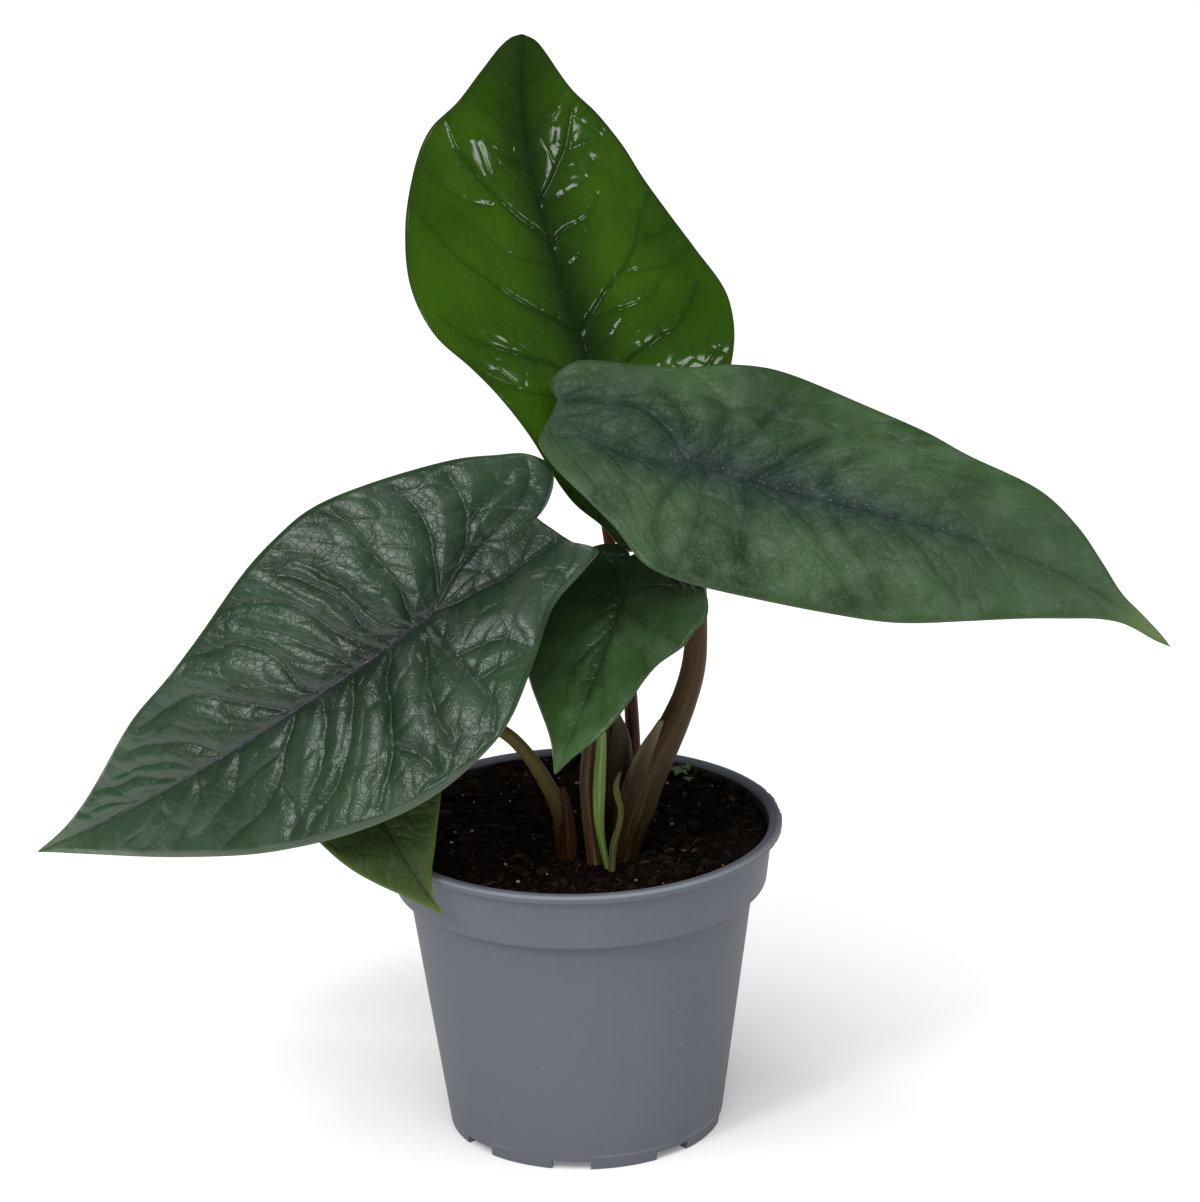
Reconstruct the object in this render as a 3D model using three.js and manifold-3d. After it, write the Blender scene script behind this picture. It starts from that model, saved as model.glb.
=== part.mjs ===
// Potted alocasia: a nursery pot of peat with one small plant of five leaves and a new spear.
// Millimetres, +Z up. The origin is the middle of the pot's base, on the surface it stands on.
import * as THREE from "three";
import { mergeVertices } from "three/addons/utils/BufferGeometryUtils.js";
import Module from "manifold-3d";

const wasm = await Module();
wasm.setup();

// Pot
const POT_HEIGHT = 95;
const LIP_RADIUS = 60;
const LIP_DEPTH = 2.6;
const BAND_TOP_RADIUS = 56.6;
const BAND_FOOT_RADIUS = 55.2;
const BAND_FOOT_Z = 77;
const BODY_TOP_RADIUS = 51.5;
const BODY_FOOT_RADIUS = 41.4;
const BODY_FOOT_Z = 4.4;
const FOOT_RADIUS = 40.4;
const FOOT_RING_WIDTH = 3;
const WALL = 1.3;
const FLOOR_UNDER_Z = 2.6;
const FLOOR_TOP_Z = 4.4;
const BASE_DISC_RADIUS = 11;
const POT_SIDES = 48;
const FOOT_GAPS = 8;
const FOOT_GAP_WIDTH = 11.5;
const FOOT_GAP_TURN = -92;
const DRAIN_HOLES = 8;
const DRAIN_RADIUS = 3.4;
const DRAIN_CIRCLE_RADIUS = 27;

// Soil
const SOIL_Z = 89;
const SOIL_SLOPE = 0.03;
const SOIL_DISH = 3.4;
const SOIL_LUMP = 1.3;
const SOIL_SECTORS = 36;
const GAP = 0.3;

// Leaves
const BLADE = 0.9;
const RIB_DEPTH = 1.5;
const RIB_HALF_WIDTH = 0.07;
const VEIN_REACH = 0.17;
const VEIN_SAG = 0.12;
const BASE_ROW = 0.1;
const MARGIN_WAVES = 3.5;
const ACROSS = [0, RIB_HALF_WIDTH, 0.32, 0.58, 0.82, 1];

const radians = THREE.MathUtils.degToRad;
const clamp = THREE.MathUtils.clamp;
const lerp = THREE.MathUtils.lerp;

// A repeatable stream of numbers from 0 to 1.
function seeded(seed) {
  let state = seed;
  return () => {
    state = (state * 16807) % 2147483647;
    return state / 2147483647;
  };
}

// A closed solid from corner points and triangles, merged where points meet.
function geometryOf(points, triangles) {
  const corners = [];
  for (const index of triangles) corners.push(...points[index]);
  const geometry = new THREE.BufferGeometry();
  geometry.setAttribute("position", new THREE.Float32BufferAttribute(corners, 3));
  return geometry;
}

function solidOf(geometry) {
  const bare = geometry.clone();
  bare.deleteAttribute("normal");
  bare.deleteAttribute("uv");
  const merged = mergeVertices(bare, 1e-4);
  const index = merged.index.array;
  const mesh = new wasm.Mesh({
    numProp: 3,
    vertProperties: merged.attributes.position.array,
    triVerts: new Uint32Array(index),
  });
  return new wasm.Manifold(mesh);
}

function geometryFrom(solid) {
  const mesh = solid.getMesh();
  const geometry = new THREE.BufferGeometry();
  geometry.setAttribute("position", new THREE.BufferAttribute(mesh.vertProperties.slice(), 3));
  geometry.setIndex(new THREE.BufferAttribute(mesh.triVerts.slice(), 1));
  geometry.computeVertexNormals();
  return geometry;
}

// Points along a smooth curve through the given points, evenly spaced.
function smoothPath(points, count) {
  const curve = new THREE.CatmullRomCurve3(
    points.map((p) => new THREE.Vector3(p[0], p[1], p[2] ?? 0)),
    false,
    "centripetal",
  );
  curve.arcLengthDivisions = 400;
  return curve.getSpacedPoints(count);
}

// Value at t of a list of evenly spread values.
function along(values, t) {
  const place = clamp(t, 0, 1) * (values.length - 1);
  const low = Math.min(Math.floor(place), values.length - 2);
  return lerp(values[low], values[low + 1], place - low);
}

// A solid stalk along a path, with its own half width and half depth at each step.
function stalk(points, widths, depths, sides, steps, wide = new THREE.Vector3(1, 0, 0)) {
  const path = smoothPath(points, steps);
  const corners = [];
  for (let i = 0; i <= steps; i++) {
    const before = path[Math.max(i - 1, 0)];
    const after = path[Math.min(i + 1, steps)];
    const ahead = after.clone().sub(before).normalize();
    const across = wide.clone().addScaledVector(ahead, -wide.dot(ahead)).normalize();
    const deep = ahead.clone().cross(across);
    const halfWidth = along(widths, i / steps);
    const halfDepth = along(depths, i / steps);
    for (let k = 0; k < sides; k++) {
      const turn = (2 * Math.PI * k) / sides;
      const corner = path[i]
        .clone()
        .addScaledVector(across, halfWidth * Math.cos(turn))
        .addScaledVector(deep, halfDepth * Math.sin(turn));
      corners.push(corner.toArray());
    }
  }
  const first = corners.push(path[0].toArray()) - 1;
  const last = corners.push(path[steps].toArray()) - 1;
  const triangles = [];
  for (let k = 0; k < sides; k++) {
    const next = (k + 1) % sides;
    for (let i = 0; i < steps; i++) {
      const a = i * sides + k;
      const b = i * sides + next;
      const c = a + sides;
      const d = b + sides;
      triangles.push(a, b, c, b, d, c);
    }
    triangles.push(first, next, k);
    triangles.push(last, steps * sides + k, steps * sides + next);
  }
  return solidOf(geometryOf(corners, triangles));
}

// Leaf poses and flat outlines. Across is x and along the midrib is y, both from the stalk's end;
// heading is the way the midrib points in plan, pitch its rise, roll its turn, all in degrees;
// droop bends it down towards the tip, sway bends it sideways, fold lifts both halves and
// curl rounds them over. Outlines run from the tip to the notch between the two basal lobes.
const LEAVES = {
  top: {
    attach: [9.3, 28, 214.7],
    heading: 115.2, pitch: 56.4, roll: 12.5, length: 120.4,
    droop: [48.9, -69.6], back: 20, sway: 9.4, fold: 9.2, curl: -9.9,
    quilt: 0.4, wave: 1.0, rows: 24,
    left: [
      [0, 120.4], [-4.2, 118.8], [-8.4, 115.4], [-15.5, 107], [-23.5, 97.5], [-34, 88.4], [-43.7, 73], [-51.4, 56], [-54.8, 39],
      [-52.2, 24], [-44.7, 13], [-37, 1], [-30, -9.6], [-20.7, -28], [-13, -36], [-7, -43.7], [-3, -44.5], [1, -40],
    ],
    right: [
      [0, 120.4], [4.6, 119], [9.2, 115.4], [19, 105.5], [27, 98.8], [33.7, 88.8], [39, 76], [51.5, 53], [56.7, 37],
      [54.7, 23.5], [48.8, 9], [40, -5], [31, -19], [23, -32], [16, -41], [9, -45.5], [4, -44.5], [1, -40],
    ],
  },
  right: {
    attach: [34.8, -8, 208.6],
    heading: -11.4, pitch: -17.8, roll: 30.4, length: 152.3,
    droop: [-50.1, 90], back: 20, sway: -2.5, fold: 5.6, curl: -16.7,
    quilt: 0.35, wave: 0.7, rows: 28,
    left: [
      [0, 152.3], [-2, 137], [-4, 130], [-10.5, 122], [-19, 112.5], [-26.5, 99.5], [-30, 75], [-35, 60],
      [-43.4, 27], [-44, 13], [-40, 1], [-33, -12], [-28, -27], [-22, -42], [-16, -46], [-10, -46.8], [-6, -43],
    ],
    right: [
      [0, 152.3], [2.5, 146], [4.4, 134], [7.5, 126.5], [15, 114], [28.5, 90], [35.5, 72], [38.8, 50],
      [42, 20], [42.2, 8], [40, -2], [32, -13], [26.5, -23], [19, -35.7], [11, -43], [5, -43.5], [-6, -43],
    ],
  },
  left: {
    attach: [-42.1, -30, 170.7],
    heading: 193.3, pitch: -33.5, roll: -47.6, length: 152,
    droop: [35.3, 5.2], back: 20, sway: 24.4, fold: 9.4, curl: -8.2,
    quilt: 0.6, wave: 0.8, rows: 28,
    left: [
      [0, 152], [-2.7, 142], [-8, 126.6], [-21.5, 95.5], [-33.5, 69.5], [-41.6, 47], [-46, 24.5], [-44.3, 5],
      [-41.5, -2], [-31.7, -15.7], [-22.3, -29], [-20.3, -42], [-19, -48], [-11.6, -44.7], [-3, -43.2], [2, -42.4],
    ],
    right: [
      [0, 152], [3.2, 139], [7.7, 127.6], [22.5, 97.5], [28.3, 79.6], [42.2, 42.3], [45.7, 24], [46.5, 9],
      [41.4, -13], [31, -36], [24, -46], [18, -53.5], [11, -56.2], [7, -53.6], [3, -46.4], [2, -42.4],
    ],
  },
  centre: {
    attach: [13.7, -19, 170.4],
    heading: 245.8, pitch: -42.6, roll: 16.8, length: 56.2,
    droop: [4, 2.2], back: 20, sway: 12.7, fold: 13.2, curl: -6.1,
    quilt: 0.3, wave: 0.6, rows: 18,
    left: [
      [0, 56.2], [-4, 51], [-10.6, 43.3], [-15.6, 35], [-24, 22.5], [-32.4, 16], [-34.6, 12], [-38, 8.5],
      [-36.5, 3], [-30, -2], [-22, -9], [-13, -16.5], [-5, -18.5], [2, -15],
    ],
    right: [
      [0, 56.2], [5.4, 48.4], [13.8, 38.2], [21, 29.6], [27, 21], [30.5, 12], [30, 3], [26, -6],
      [20, -13], [14.5, -17.5], [9, -19.5], [5, -18.5], [2, -15],
    ],
  },
  low: {
    attach: [-62.5, -30, 122.4],
    heading: 301, pitch: -45.2, roll: 30.8, length: 48,
    droop: [14, 8.2], back: 20, sway: -13.2, fold: 8.1, curl: -7.9,
    quilt: 0.3, wave: 0.5, rows: 18,
    left: [
      [-0.5, 48], [-0.8, 42.4], [-4.3, 36], [-10.4, 28.2], [-18.2, 17], [-22, 9], [-22.5, 2], [-19, -6],
      [-14, -13], [-9, -18], [-5, -19.5], [-2, -18], [0, -15],
    ],
    right: [
      [-0.5, 48], [3.6, 41], [7, 35.3], [10.4, 30.3], [14.7, 23.3], [18, 16], [20.5, 8], [20, 0],
      [17, -8], [12.5, -14], [8, -18.5], [4, -19], [0, -15],
    ],
  },
};

// The bent surface of a leaf: a flat point and a height above it go to a point in space.
function bentSurface(leaf) {
  const heading = radians(leaf.heading);
  const pitch = radians(leaf.pitch);
  const roll = radians(leaf.roll);
  const ahead = new THREE.Vector3(
    Math.cos(heading) * Math.cos(pitch),
    Math.sin(heading) * Math.cos(pitch),
    Math.sin(pitch),
  );
  const level = new THREE.Vector3(Math.sin(heading), -Math.cos(heading), 0);
  const up = level.clone().cross(ahead);
  const side = level.clone().multiplyScalar(Math.cos(roll)).addScaledVector(up, -Math.sin(roll));
  const face = side.clone().cross(ahead);
  const TABLE = 240;
  const first = -0.7 * leaf.length;
  const last = 1.15 * leaf.length;

  function frameAt(y) {
    const u = y / leaf.length;
    const bend = radians(u >= 0 ? leaf.droop[0] * u + leaf.droop[1] * u * u : leaf.back * u);
    const turn = radians(leaf.sway * u);
    const along1 = ahead.clone().multiplyScalar(Math.cos(bend)).addScaledVector(face, -Math.sin(bend));
    const normal = ahead.clone().multiplyScalar(Math.sin(bend)).addScaledVector(face, Math.cos(bend));
    const forward = along1.clone().multiplyScalar(Math.cos(turn)).addScaledVector(side, Math.sin(turn));
    const across = side.clone().multiplyScalar(Math.cos(turn)).addScaledVector(along1, -Math.sin(turn));
    return { forward, across, normal };
  }

  const rib = [new THREE.Vector3()];
  const step = (last - first) / TABLE;
  for (let i = 0; i < TABLE; i++) {
    const { forward } = frameAt(first + (i + 0.5) * step);
    rib.push(rib[i].clone().addScaledVector(forward, step));
  }
  const ribAt = (y) => {
    const place = clamp((y - first) / step, 0, TABLE - 1e-6);
    const low = Math.floor(place);
    return rib[low].clone().lerp(rib[low + 1], place - low);
  };
  const shift = new THREE.Vector3(...leaf.attach).sub(ribAt(0));

  return (x, y, height) => {
    const { across, normal } = frameAt(y);
    const out = Math.abs(x);
    const fold = radians(leaf.fold * lerp(1, 0.3, clamp(y / leaf.length, 0, 1)));
    const curl = radians(leaf.curl) / 50;
    const reach = (Math.sin(fold + curl * out) - Math.sin(fold)) / curl;
    const lift = -(Math.cos(fold + curl * out) - Math.cos(fold)) / curl;
    return ribAt(y)
      .add(shift)
      .addScaledVector(across, Math.sign(x) * reach)
      .addScaledVector(normal, lift + height)
      .toArray();
  };
}

// Rows of flat points from the midrib to the margin, laid along the side veins.
function leafRows(leaf, outline) {
  const margin = smoothPath(outline, 300);
  const baseIndex = margin.findIndex((p, i) => i > 10 && p.y < BASE_ROW * leaf.length);
  const notch = margin[300];
  const forwardRows = Math.round(leaf.rows * 0.58);
  const rows = [];
  for (let i = 0; i <= leaf.rows; i++) {
    let inner;
    let outer;
    if (i <= forwardRows) {
      const t = i / forwardRows;
      const y = leaf.length * (1 - t - VEIN_REACH * Math.sin(Math.PI * t) * t ** 0.3);
      inner = new THREE.Vector3(margin[0].x * (1 - t), y, 0);
      outer = margin[Math.round(baseIndex * t)];
    } else {
      const t = (i - forwardRows) / (leaf.rows - forwardRows);
      inner = new THREE.Vector3().lerp(notch, t ** 1.5);
      outer = margin[Math.round(lerp(baseIndex, 300, t))];
    }
    rows.push({ inner, outer, vein: i % 2 === 0, t: i / leaf.rows });
  }
  return rows;
}

// Height of the blade's middle above the bent surface: sunk veins, raised quilting between them
// and a gently waved margin.
function relief(leaf, row, v, phase) {
  const quilt = leaf.quilt * (row.vein ? -1 : 1) * Math.sin(Math.PI * Math.min(v * 1.1, 1));
  const groove = v === 0 ? -0.4 : 0;
  const wave = leaf.wave * v ** 3 * Math.sin(2 * Math.PI * MARGIN_WAVES * row.t + phase);
  return quilt + groove + wave;
}

// Depth of the rib that stands below the blade at the midrib.
function ribDepth(leaf, y) {
  const taper = y >= 0 ? 1 - 0.85 * (y / leaf.length) : 1 + (1.6 * y) / leaf.length;
  return RIB_DEPTH * Math.sqrt(leaf.length / 150) * Math.max(taper, 0.1);
}

// A leaf blade. With lift, the solid is the space that the stalk must keep clear of.
function blade(leaf, clearance = 0, lift = 0) {
  const place = bentSurface(leaf);
  const sides = [leafRows(leaf, leaf.left), leafRows(leaf, leaf.right)];
  const points = [];
  const triangles = [];
  const index = new Map();
  const rowCount = leaf.rows;
  const columnCount = ACROSS.length - 1;

  function corner(half, i, j, face) {
    const atEnd = i === 0 || i === rowCount;
    const column = atEnd ? 0 : j;
    const key = [column === 0 ? "mid" : half, i, column, face].join();
    if (index.has(key)) return index.get(key);
    const row = sides[half][i];
    const v = ACROSS[column];
    const flat = row.inner.clone().lerp(row.outer, v);
    const width = row.inner.distanceTo(row.outer);
    flat.y -= VEIN_SAG * width * Math.sin(Math.PI * v) * (row.t < 0.58 ? 1 : 0.3);
    const rise = atEnd ? 0 : relief(leaf, row, v, half * 2.1);
    const rib = column === 0 ? ribDepth(leaf, flat.y) : 0;
    const height = face === 1 ? rise + BLADE / 2 + lift : rise - BLADE / 2 - rib - clearance;
    points.push(place(flat.x, flat.y, height));
    index.set(key, points.length - 1);
    return points.length - 1;
  }

  function face(a, b, c) {
    if (a !== b && b !== c && c !== a) triangles.push(a, b, c);
  }

  for (const half of [0, 1]) {
    for (let i = 0; i < rowCount; i++) {
      for (let j = 0; j < columnCount; j++) {
        for (const level of [1, 0]) {
          const a = corner(half, i, j, level);
          const b = corner(half, i, j + 1, level);
          const c = corner(half, i + 1, j, level);
          const d = corner(half, i + 1, j + 1, level);
          if ((half === 1) === (level === 1)) {
            face(a, c, b);
            face(b, c, d);
          } else {
            face(a, b, c);
            face(b, d, c);
          }
        }
      }
      const a = corner(half, i, columnCount, 1);
      const b = corner(half, i + 1, columnCount, 1);
      const c = corner(half, i, columnCount, 0);
      const d = corner(half, i + 1, columnCount, 0);
      if (half === 1) {
        face(a, b, c);
        face(b, d, c);
      } else {
        face(a, c, b);
        face(b, c, d);
      }
    }
  }
  return solidOf(geometryOf(points, triangles));
}

// Leaf stalks, from the corm to the underside of their blades.
const STALKS = {
  top: {
    path: [
      [15.5, -6.5, 70], [15.5, -6.5, 90], [16.2, -5, 118], [15, -1, 146], [11.5, 7, 172],
      [8.5, 17, 195], [8.8, 25, 209], [9.3, 28.4, 216],
    ],
    widths: [2.6, 2.6, 2.3, 2, 1.8, 1.7, 1.6, 1.5],
    depths: [2.6, 2.6, 2.3, 2, 1.8, 1.7, 1.6, 1.5],
  },
  right: {
    path: [
      [12.2, -18, 70], [13, -18.3, 90], [15, -18.5, 99], [17.6, -18.5, 106.5], [20.2, -18.3, 115],
      [23.8, -17.8, 122.5], [28, -17.2, 131], [31.6, -16.5, 139.5], [34, -15.8, 148], [35, -15, 157],
      [35.4, -13, 176], [35, -10, 196], [34.8, -8, 210],
    ],
    widths: [3.4, 3.6, 4.3, 5, 5.2, 4.5, 3.8, 3.5, 3.1, 2.9, 2.7, 2.5, 2.2],
    depths: [3, 3.1, 3.3, 3.4, 3.4, 3.4, 3.2, 3, 2.9, 2.8, 2.5, 2.4, 2.2],
  },
  left: {
    path: [
      [7.6, -10, 70], [7.8, -10, 90], [9.3, -10.5, 110], [8.8, -9, 125], [3.5, -7, 139],
      [-6, -4, 150.5], [-18, -6.5, 159], [-31, -18.5, 167], [-42, -30, 171.5],
    ],
    widths: [3.2, 3.4, 3.7, 3.2, 2.6, 2.4, 2.2, 2, 1.8],
    depths: [3, 3.1, 3.1, 2.8, 2.5, 2.3, 2.2, 2, 1.8],
  },
  centre: {
    path: [
      [4.6, -20.5, 70], [4.2, -20.5, 90], [2.7, -20, 106], [2.5, -19.5, 116], [4, -18.5, 128],
      [7, -18, 143], [10.8, -17.8, 157], [13.7, -19, 171.5],
    ],
    widths: [2.4, 2.4, 2.3, 2.2, 2, 1.8, 1.6, 1.4],
    depths: [2.4, 2.4, 2.3, 2.2, 2, 1.8, 1.6, 1.4],
  },
  low: {
    path: [
      [-2.4, -15.3, 68], [-4, -15.6, 89], [-5.6, -17, 104], [-9.6, -18.4, 114.5], [-15, -19.5, 124],
      [-21, -21, 131], [-31, -20, 135.5], [-42, -17.5, 134], [-52, -17, 129], [-59, -22, 124.5], [-62.5, -29.5, 122.6],
    ],
    widths: [2.8, 3.2, 3.1, 2.6, 2.2, 2, 1.9, 1.7, 1.5, 1.4, 1.2],
    depths: [2.8, 3, 2.8, 2.3, 2.1, 2, 1.9, 1.7, 1.5, 1.4, 1.2],
  },
};

// Sheath margins that wrap the foot of a stalk and end in a rounded ear.
const SHEATHS = {
  right: {
    path: [
      [12.4, -19.2, 86], [14, -20, 98], [16.6, -20.2, 108], [18.4, -20.2, 116], [20.6, -19.8, 123], [23, -19.2, 128.5],
      [24.2, -18.8, 131.6], [24.8, -18.6, 133],
    ],
    widths: [2.6, 3.4, 4.2, 5, 4.7, 3.9, 2.7, 1],
    depths: [1.6, 1.8, 1.7, 1.6, 1.5, 1.3, 1.1, 0.7],
  },
  left: {
    path: [
      [8.5, -11.5, 86], [10.2, -12.2, 100], [11.6, -12.3, 112], [12.4, -12.3, 121], [12.4, -12, 127], [11.2, -11.6, 134],
    ],
    widths: [2.2, 3.2, 4, 4.2, 3.1, 0.7],
    depths: [1.5, 1.6, 1.5, 1.3, 1.1, 0.6],
  },
  low: {
    path: [[-3.4, -16.6, 86], [-3.6, -17.8, 96], [-4, -18.4, 106], [-4.6, -18.8, 113]],
    widths: [2.6, 2.8, 2.3, 0.6],
    depths: [1.4, 1.5, 1.3, 0.6],
  },
};

// New leaf, still rolled into a spear on a thin foot.
const SPEAR = {
  path: [
    [8.4, -23.2, 74], [8, -23.4, 88], [6.8, -23.5, 95], [6, -23.4, 101], [5.8, -23.2, 108],
    [6.1, -23, 116], [6.7, -22.4, 124], [7.1, -21.8, 131], [7.2, -21.4, 137],
  ],
  widths: [0.9, 0.9, 0.9, 1.1, 1.6, 1.9, 1.7, 1.4, 0.5],
  depths: [0.8, 0.8, 0.8, 0.9, 1.3, 1.5, 1.4, 1.1, 0.5],
};

// Dried scale leaf beside the spear.
const SCALE_LEAF = {
  path: [
    [9.4, -25.6, 78], [9.2, -26.2, 90], [10, -26.5, 98], [11.6, -26.6, 103.5], [12.2, -26.6, 108.5],
    [11.4, -26.6, 112], [10.9, -26.4, 116], [12.2, -26, 120],
  ],
  widths: [0.9, 1, 1, 1.1, 0.9, 0.8, 1, 0.4],
  depths: [0.5, 0.5, 0.5, 0.5, 0.5, 0.5, 0.5, 0.4],
};

const STALK_SIDES = 10;
const STALK_STEPS = 14;
const SHEATH_STEPS = 6;
const CLEARANCE = GAP + 0.05;

function stalkSolid(spec, grow, sides = STALK_SIDES, steps = STALK_STEPS) {
  const wider = spec.widths.map((w) => w + grow);
  const deeper = spec.depths.map((d) => d + grow);
  return stalk(spec.path, wider, deeper, sides, steps);
}

// A stalk with its sheath, grown outward by the given amount.
function stalkWithSheath(name, grow) {
  const body = stalkSolid(STALKS[name], grow);
  if (!SHEATHS[name]) return body;
  return body.add(stalkSolid(SHEATHS[name], grow, STALK_SIDES, SHEATH_STEPS));
}

// Corm with its roots.
const CORM_CENTRE = [7.5, -13, 62];
const CORM_RADIUS = 13;
const CORM_HALF_HEIGHT = 14;
const ROOTS = 8;
const ROOT_REACH = 33;
const ROOT_DROP = 34;
const ROOT_START_RADIUS = 1.6;
const ROOT_END_RADIUS = 0.7;

function cormSolid(grow) {
  const shape = new THREE.SphereGeometry(1, 14, 8);
  shape.rotateX(Math.PI / 2);
  shape.scale(CORM_RADIUS + grow, CORM_RADIUS + grow, CORM_HALF_HEIGHT + grow);
  shape.translate(...CORM_CENTRE);
  let solid = solidOf(shape);
  const draw = seeded(4711);
  for (let i = 0; i < ROOTS; i++) {
    const turn = (2 * Math.PI * (i + 0.5 * draw())) / ROOTS;
    const reach = ROOT_REACH * (0.75 + 0.25 * draw());
    const drop = ROOT_DROP * (0.5 + 0.5 * draw());
    const out = (r, z) => [
      CORM_CENTRE[0] * (1 - r / ROOT_REACH) + r * Math.cos(turn),
      CORM_CENTRE[1] * (1 - r / ROOT_REACH) + r * Math.sin(turn),
      z,
    ];
    const path = [
      out(4, CORM_CENTRE[2] - 2),
      out(0.4 * reach, CORM_CENTRE[2] - 8),
      out(0.8 * reach, CORM_CENTRE[2] - 14 - 0.3 * drop),
      out(reach, CORM_CENTRE[2] - 18 - drop),
    ];
    const radii = [ROOT_START_RADIUS + grow, ROOT_END_RADIUS + grow];
    solid = solid.add(stalk(path, radii, radii, 6, 5));
  }
  return solid;
}

// Radius inside the pot's wall at a height.
function insideRadius(z) {
  if (z >= BAND_FOOT_Z) {
    const t = (z - BAND_FOOT_Z) / (POT_HEIGHT - BAND_FOOT_Z);
    return lerp(BAND_FOOT_RADIUS, BAND_TOP_RADIUS, t) - WALL;
  }
  const t = (z - BODY_FOOT_Z) / (BAND_FOOT_Z - BODY_FOOT_Z);
  return lerp(BODY_FOOT_RADIUS, BODY_TOP_RADIUS, t) - WALL;
}

function lathe(profile, sides) {
  const points = profile.map((p) => new THREE.Vector2(p[0], p[1]));
  const shape = new THREE.LatheGeometry(points, sides);
  shape.rotateX(Math.PI / 2);
  return solidOf(shape);
}

function potSolid() {
  const top = BAND_TOP_RADIUS;
  const shelfZ = BAND_FOOT_Z - WALL;
  let solid = lathe(
    [
      [0, FLOOR_UNDER_Z],
      [FOOT_RADIUS - FOOT_RING_WIDTH, FLOOR_UNDER_Z],
      [FOOT_RADIUS - FOOT_RING_WIDTH, 0],
      [FOOT_RADIUS, 0],
      [FOOT_RADIUS + 0.3, BODY_FOOT_Z - 0.6],
      [BODY_FOOT_RADIUS, BODY_FOOT_Z],
      [BODY_TOP_RADIUS, BAND_FOOT_Z],
      [BAND_FOOT_RADIUS, BAND_FOOT_Z],
      [top, POT_HEIGHT - LIP_DEPTH],
      [LIP_RADIUS, POT_HEIGHT - LIP_DEPTH + 0.4],
      [LIP_RADIUS, POT_HEIGHT - 0.4],
      [LIP_RADIUS - 0.6, POT_HEIGHT],
      [top - WALL, POT_HEIGHT],
      [insideRadius(BAND_FOOT_Z), BAND_FOOT_Z + 0.2],
      [insideRadius(shelfZ - 0.3), shelfZ - 0.3],
      [insideRadius(FLOOR_TOP_Z + 1.5), FLOOR_TOP_Z + 1.5],
      [insideRadius(FLOOR_TOP_Z) - 1.5, FLOOR_TOP_Z],
      [0, FLOOR_TOP_Z],
    ],
    POT_SIDES,
  );
  const disc = new THREE.CylinderGeometry(BASE_DISC_RADIUS, BASE_DISC_RADIUS, FLOOR_UNDER_Z + 1, 32);
  disc.rotateX(Math.PI / 2);
  disc.translate(0, 0, (FLOOR_UNDER_Z + 1) / 2);
  solid = solid.add(solidOf(disc));
  for (let i = 0; i < FOOT_GAPS; i++) {
    const turn = radians(FOOT_GAP_TURN + (360 / FOOT_GAPS) * i);
    const cut = new THREE.BoxGeometry(12, FOOT_GAP_WIDTH, 2 * FLOOR_UNDER_Z);
    cut.translate(FOOT_RADIUS, 0, 0);
    cut.rotateZ(turn);
    solid = solid.subtract(solidOf(cut));
  }
  for (let i = 0; i < DRAIN_HOLES; i++) {
    const turn = radians(FOOT_GAP_TURN + (360 / DRAIN_HOLES) * i);
    const hole = new THREE.CylinderGeometry(DRAIN_RADIUS, DRAIN_RADIUS, 12, 16);
    hole.rotateX(Math.PI / 2);
    hole.translate(DRAIN_CIRCLE_RADIUS * Math.cos(turn), DRAIN_CIRCLE_RADIUS * Math.sin(turn), FLOOR_TOP_Z);
    solid = solid.subtract(solidOf(hole));
  }
  return solid;
}

// Height of the peat's surface: it rises to the pot's wall and a little towards the back, is lumpy,
// and has a low collar at the plant.
function soilHeight(x, y, lump) {
  const fromCrown = Math.hypot(x - 8, y + 14);
  const dish = SOIL_DISH * (Math.hypot(x, y) / 55) ** 2.5;
  return SOIL_Z + SOIL_SLOPE * y + dish + SOIL_LUMP * lump + 1.2 * Math.exp(-((fromCrown / 14) ** 2));
}

function soilBlock() {
  const draw = seeded(90210);
  const points = [];
  const rings = [];
  const topRadii = [8, 16, 24, 32, 40, 47, 51.5];
  points.push([0, 0, soilHeight(0, 0, 0)]);
  const ring = (radius, height) => {
    const start = points.length;
    for (let k = 0; k < SOIL_SECTORS; k++) {
      const turn = (2 * Math.PI * k) / SOIL_SECTORS;
      const x = radius * Math.cos(turn);
      const y = radius * Math.sin(turn);
      points.push([x, y, height(x, y)]);
    }
    rings.push(start);
  };
  for (const radius of topRadii) ring(radius, (x, y) => soilHeight(x, y, draw() * 2 - 1));
  const edgeRadius = insideRadius(SOIL_Z + 2) - GAP;
  ring(edgeRadius, (x, y) => soilHeight(x, y, -1.2));
  const wallRings = [
    [insideRadius(BAND_FOOT_Z + 0.2) - GAP, BAND_FOOT_Z + 0.8],
    [insideRadius(BAND_FOOT_Z - 2.4) - GAP, BAND_FOOT_Z - 1.6],
    [insideRadius(FLOOR_TOP_Z + 2) - GAP, FLOOR_TOP_Z + 2.2],
    [insideRadius(FLOOR_TOP_Z) - 1.9, FLOOR_TOP_Z + 0.5],
  ];
  for (const [radius, z] of wallRings) ring(radius, () => z);
  const last = points.push([0, 0, FLOOR_TOP_Z + 0.5]) - 1;
  const triangles = [];
  for (let k = 0; k < SOIL_SECTORS; k++) {
    const next = (k + 1) % SOIL_SECTORS;
    triangles.push(0, rings[0] + k, rings[0] + next);
    for (let i = 0; i + 1 < rings.length; i++) {
      const a = rings[i] + k;
      const b = rings[i] + next;
      const c = rings[i + 1] + k;
      const d = rings[i + 1] + next;
      triangles.push(a, c, b, b, c, d);
    }
    const end = rings[rings.length - 1];
    triangles.push(last, end + next, end + k);
  }
  return solidOf(geometryOf(points, triangles));
}

const group = new THREE.Group();

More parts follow.
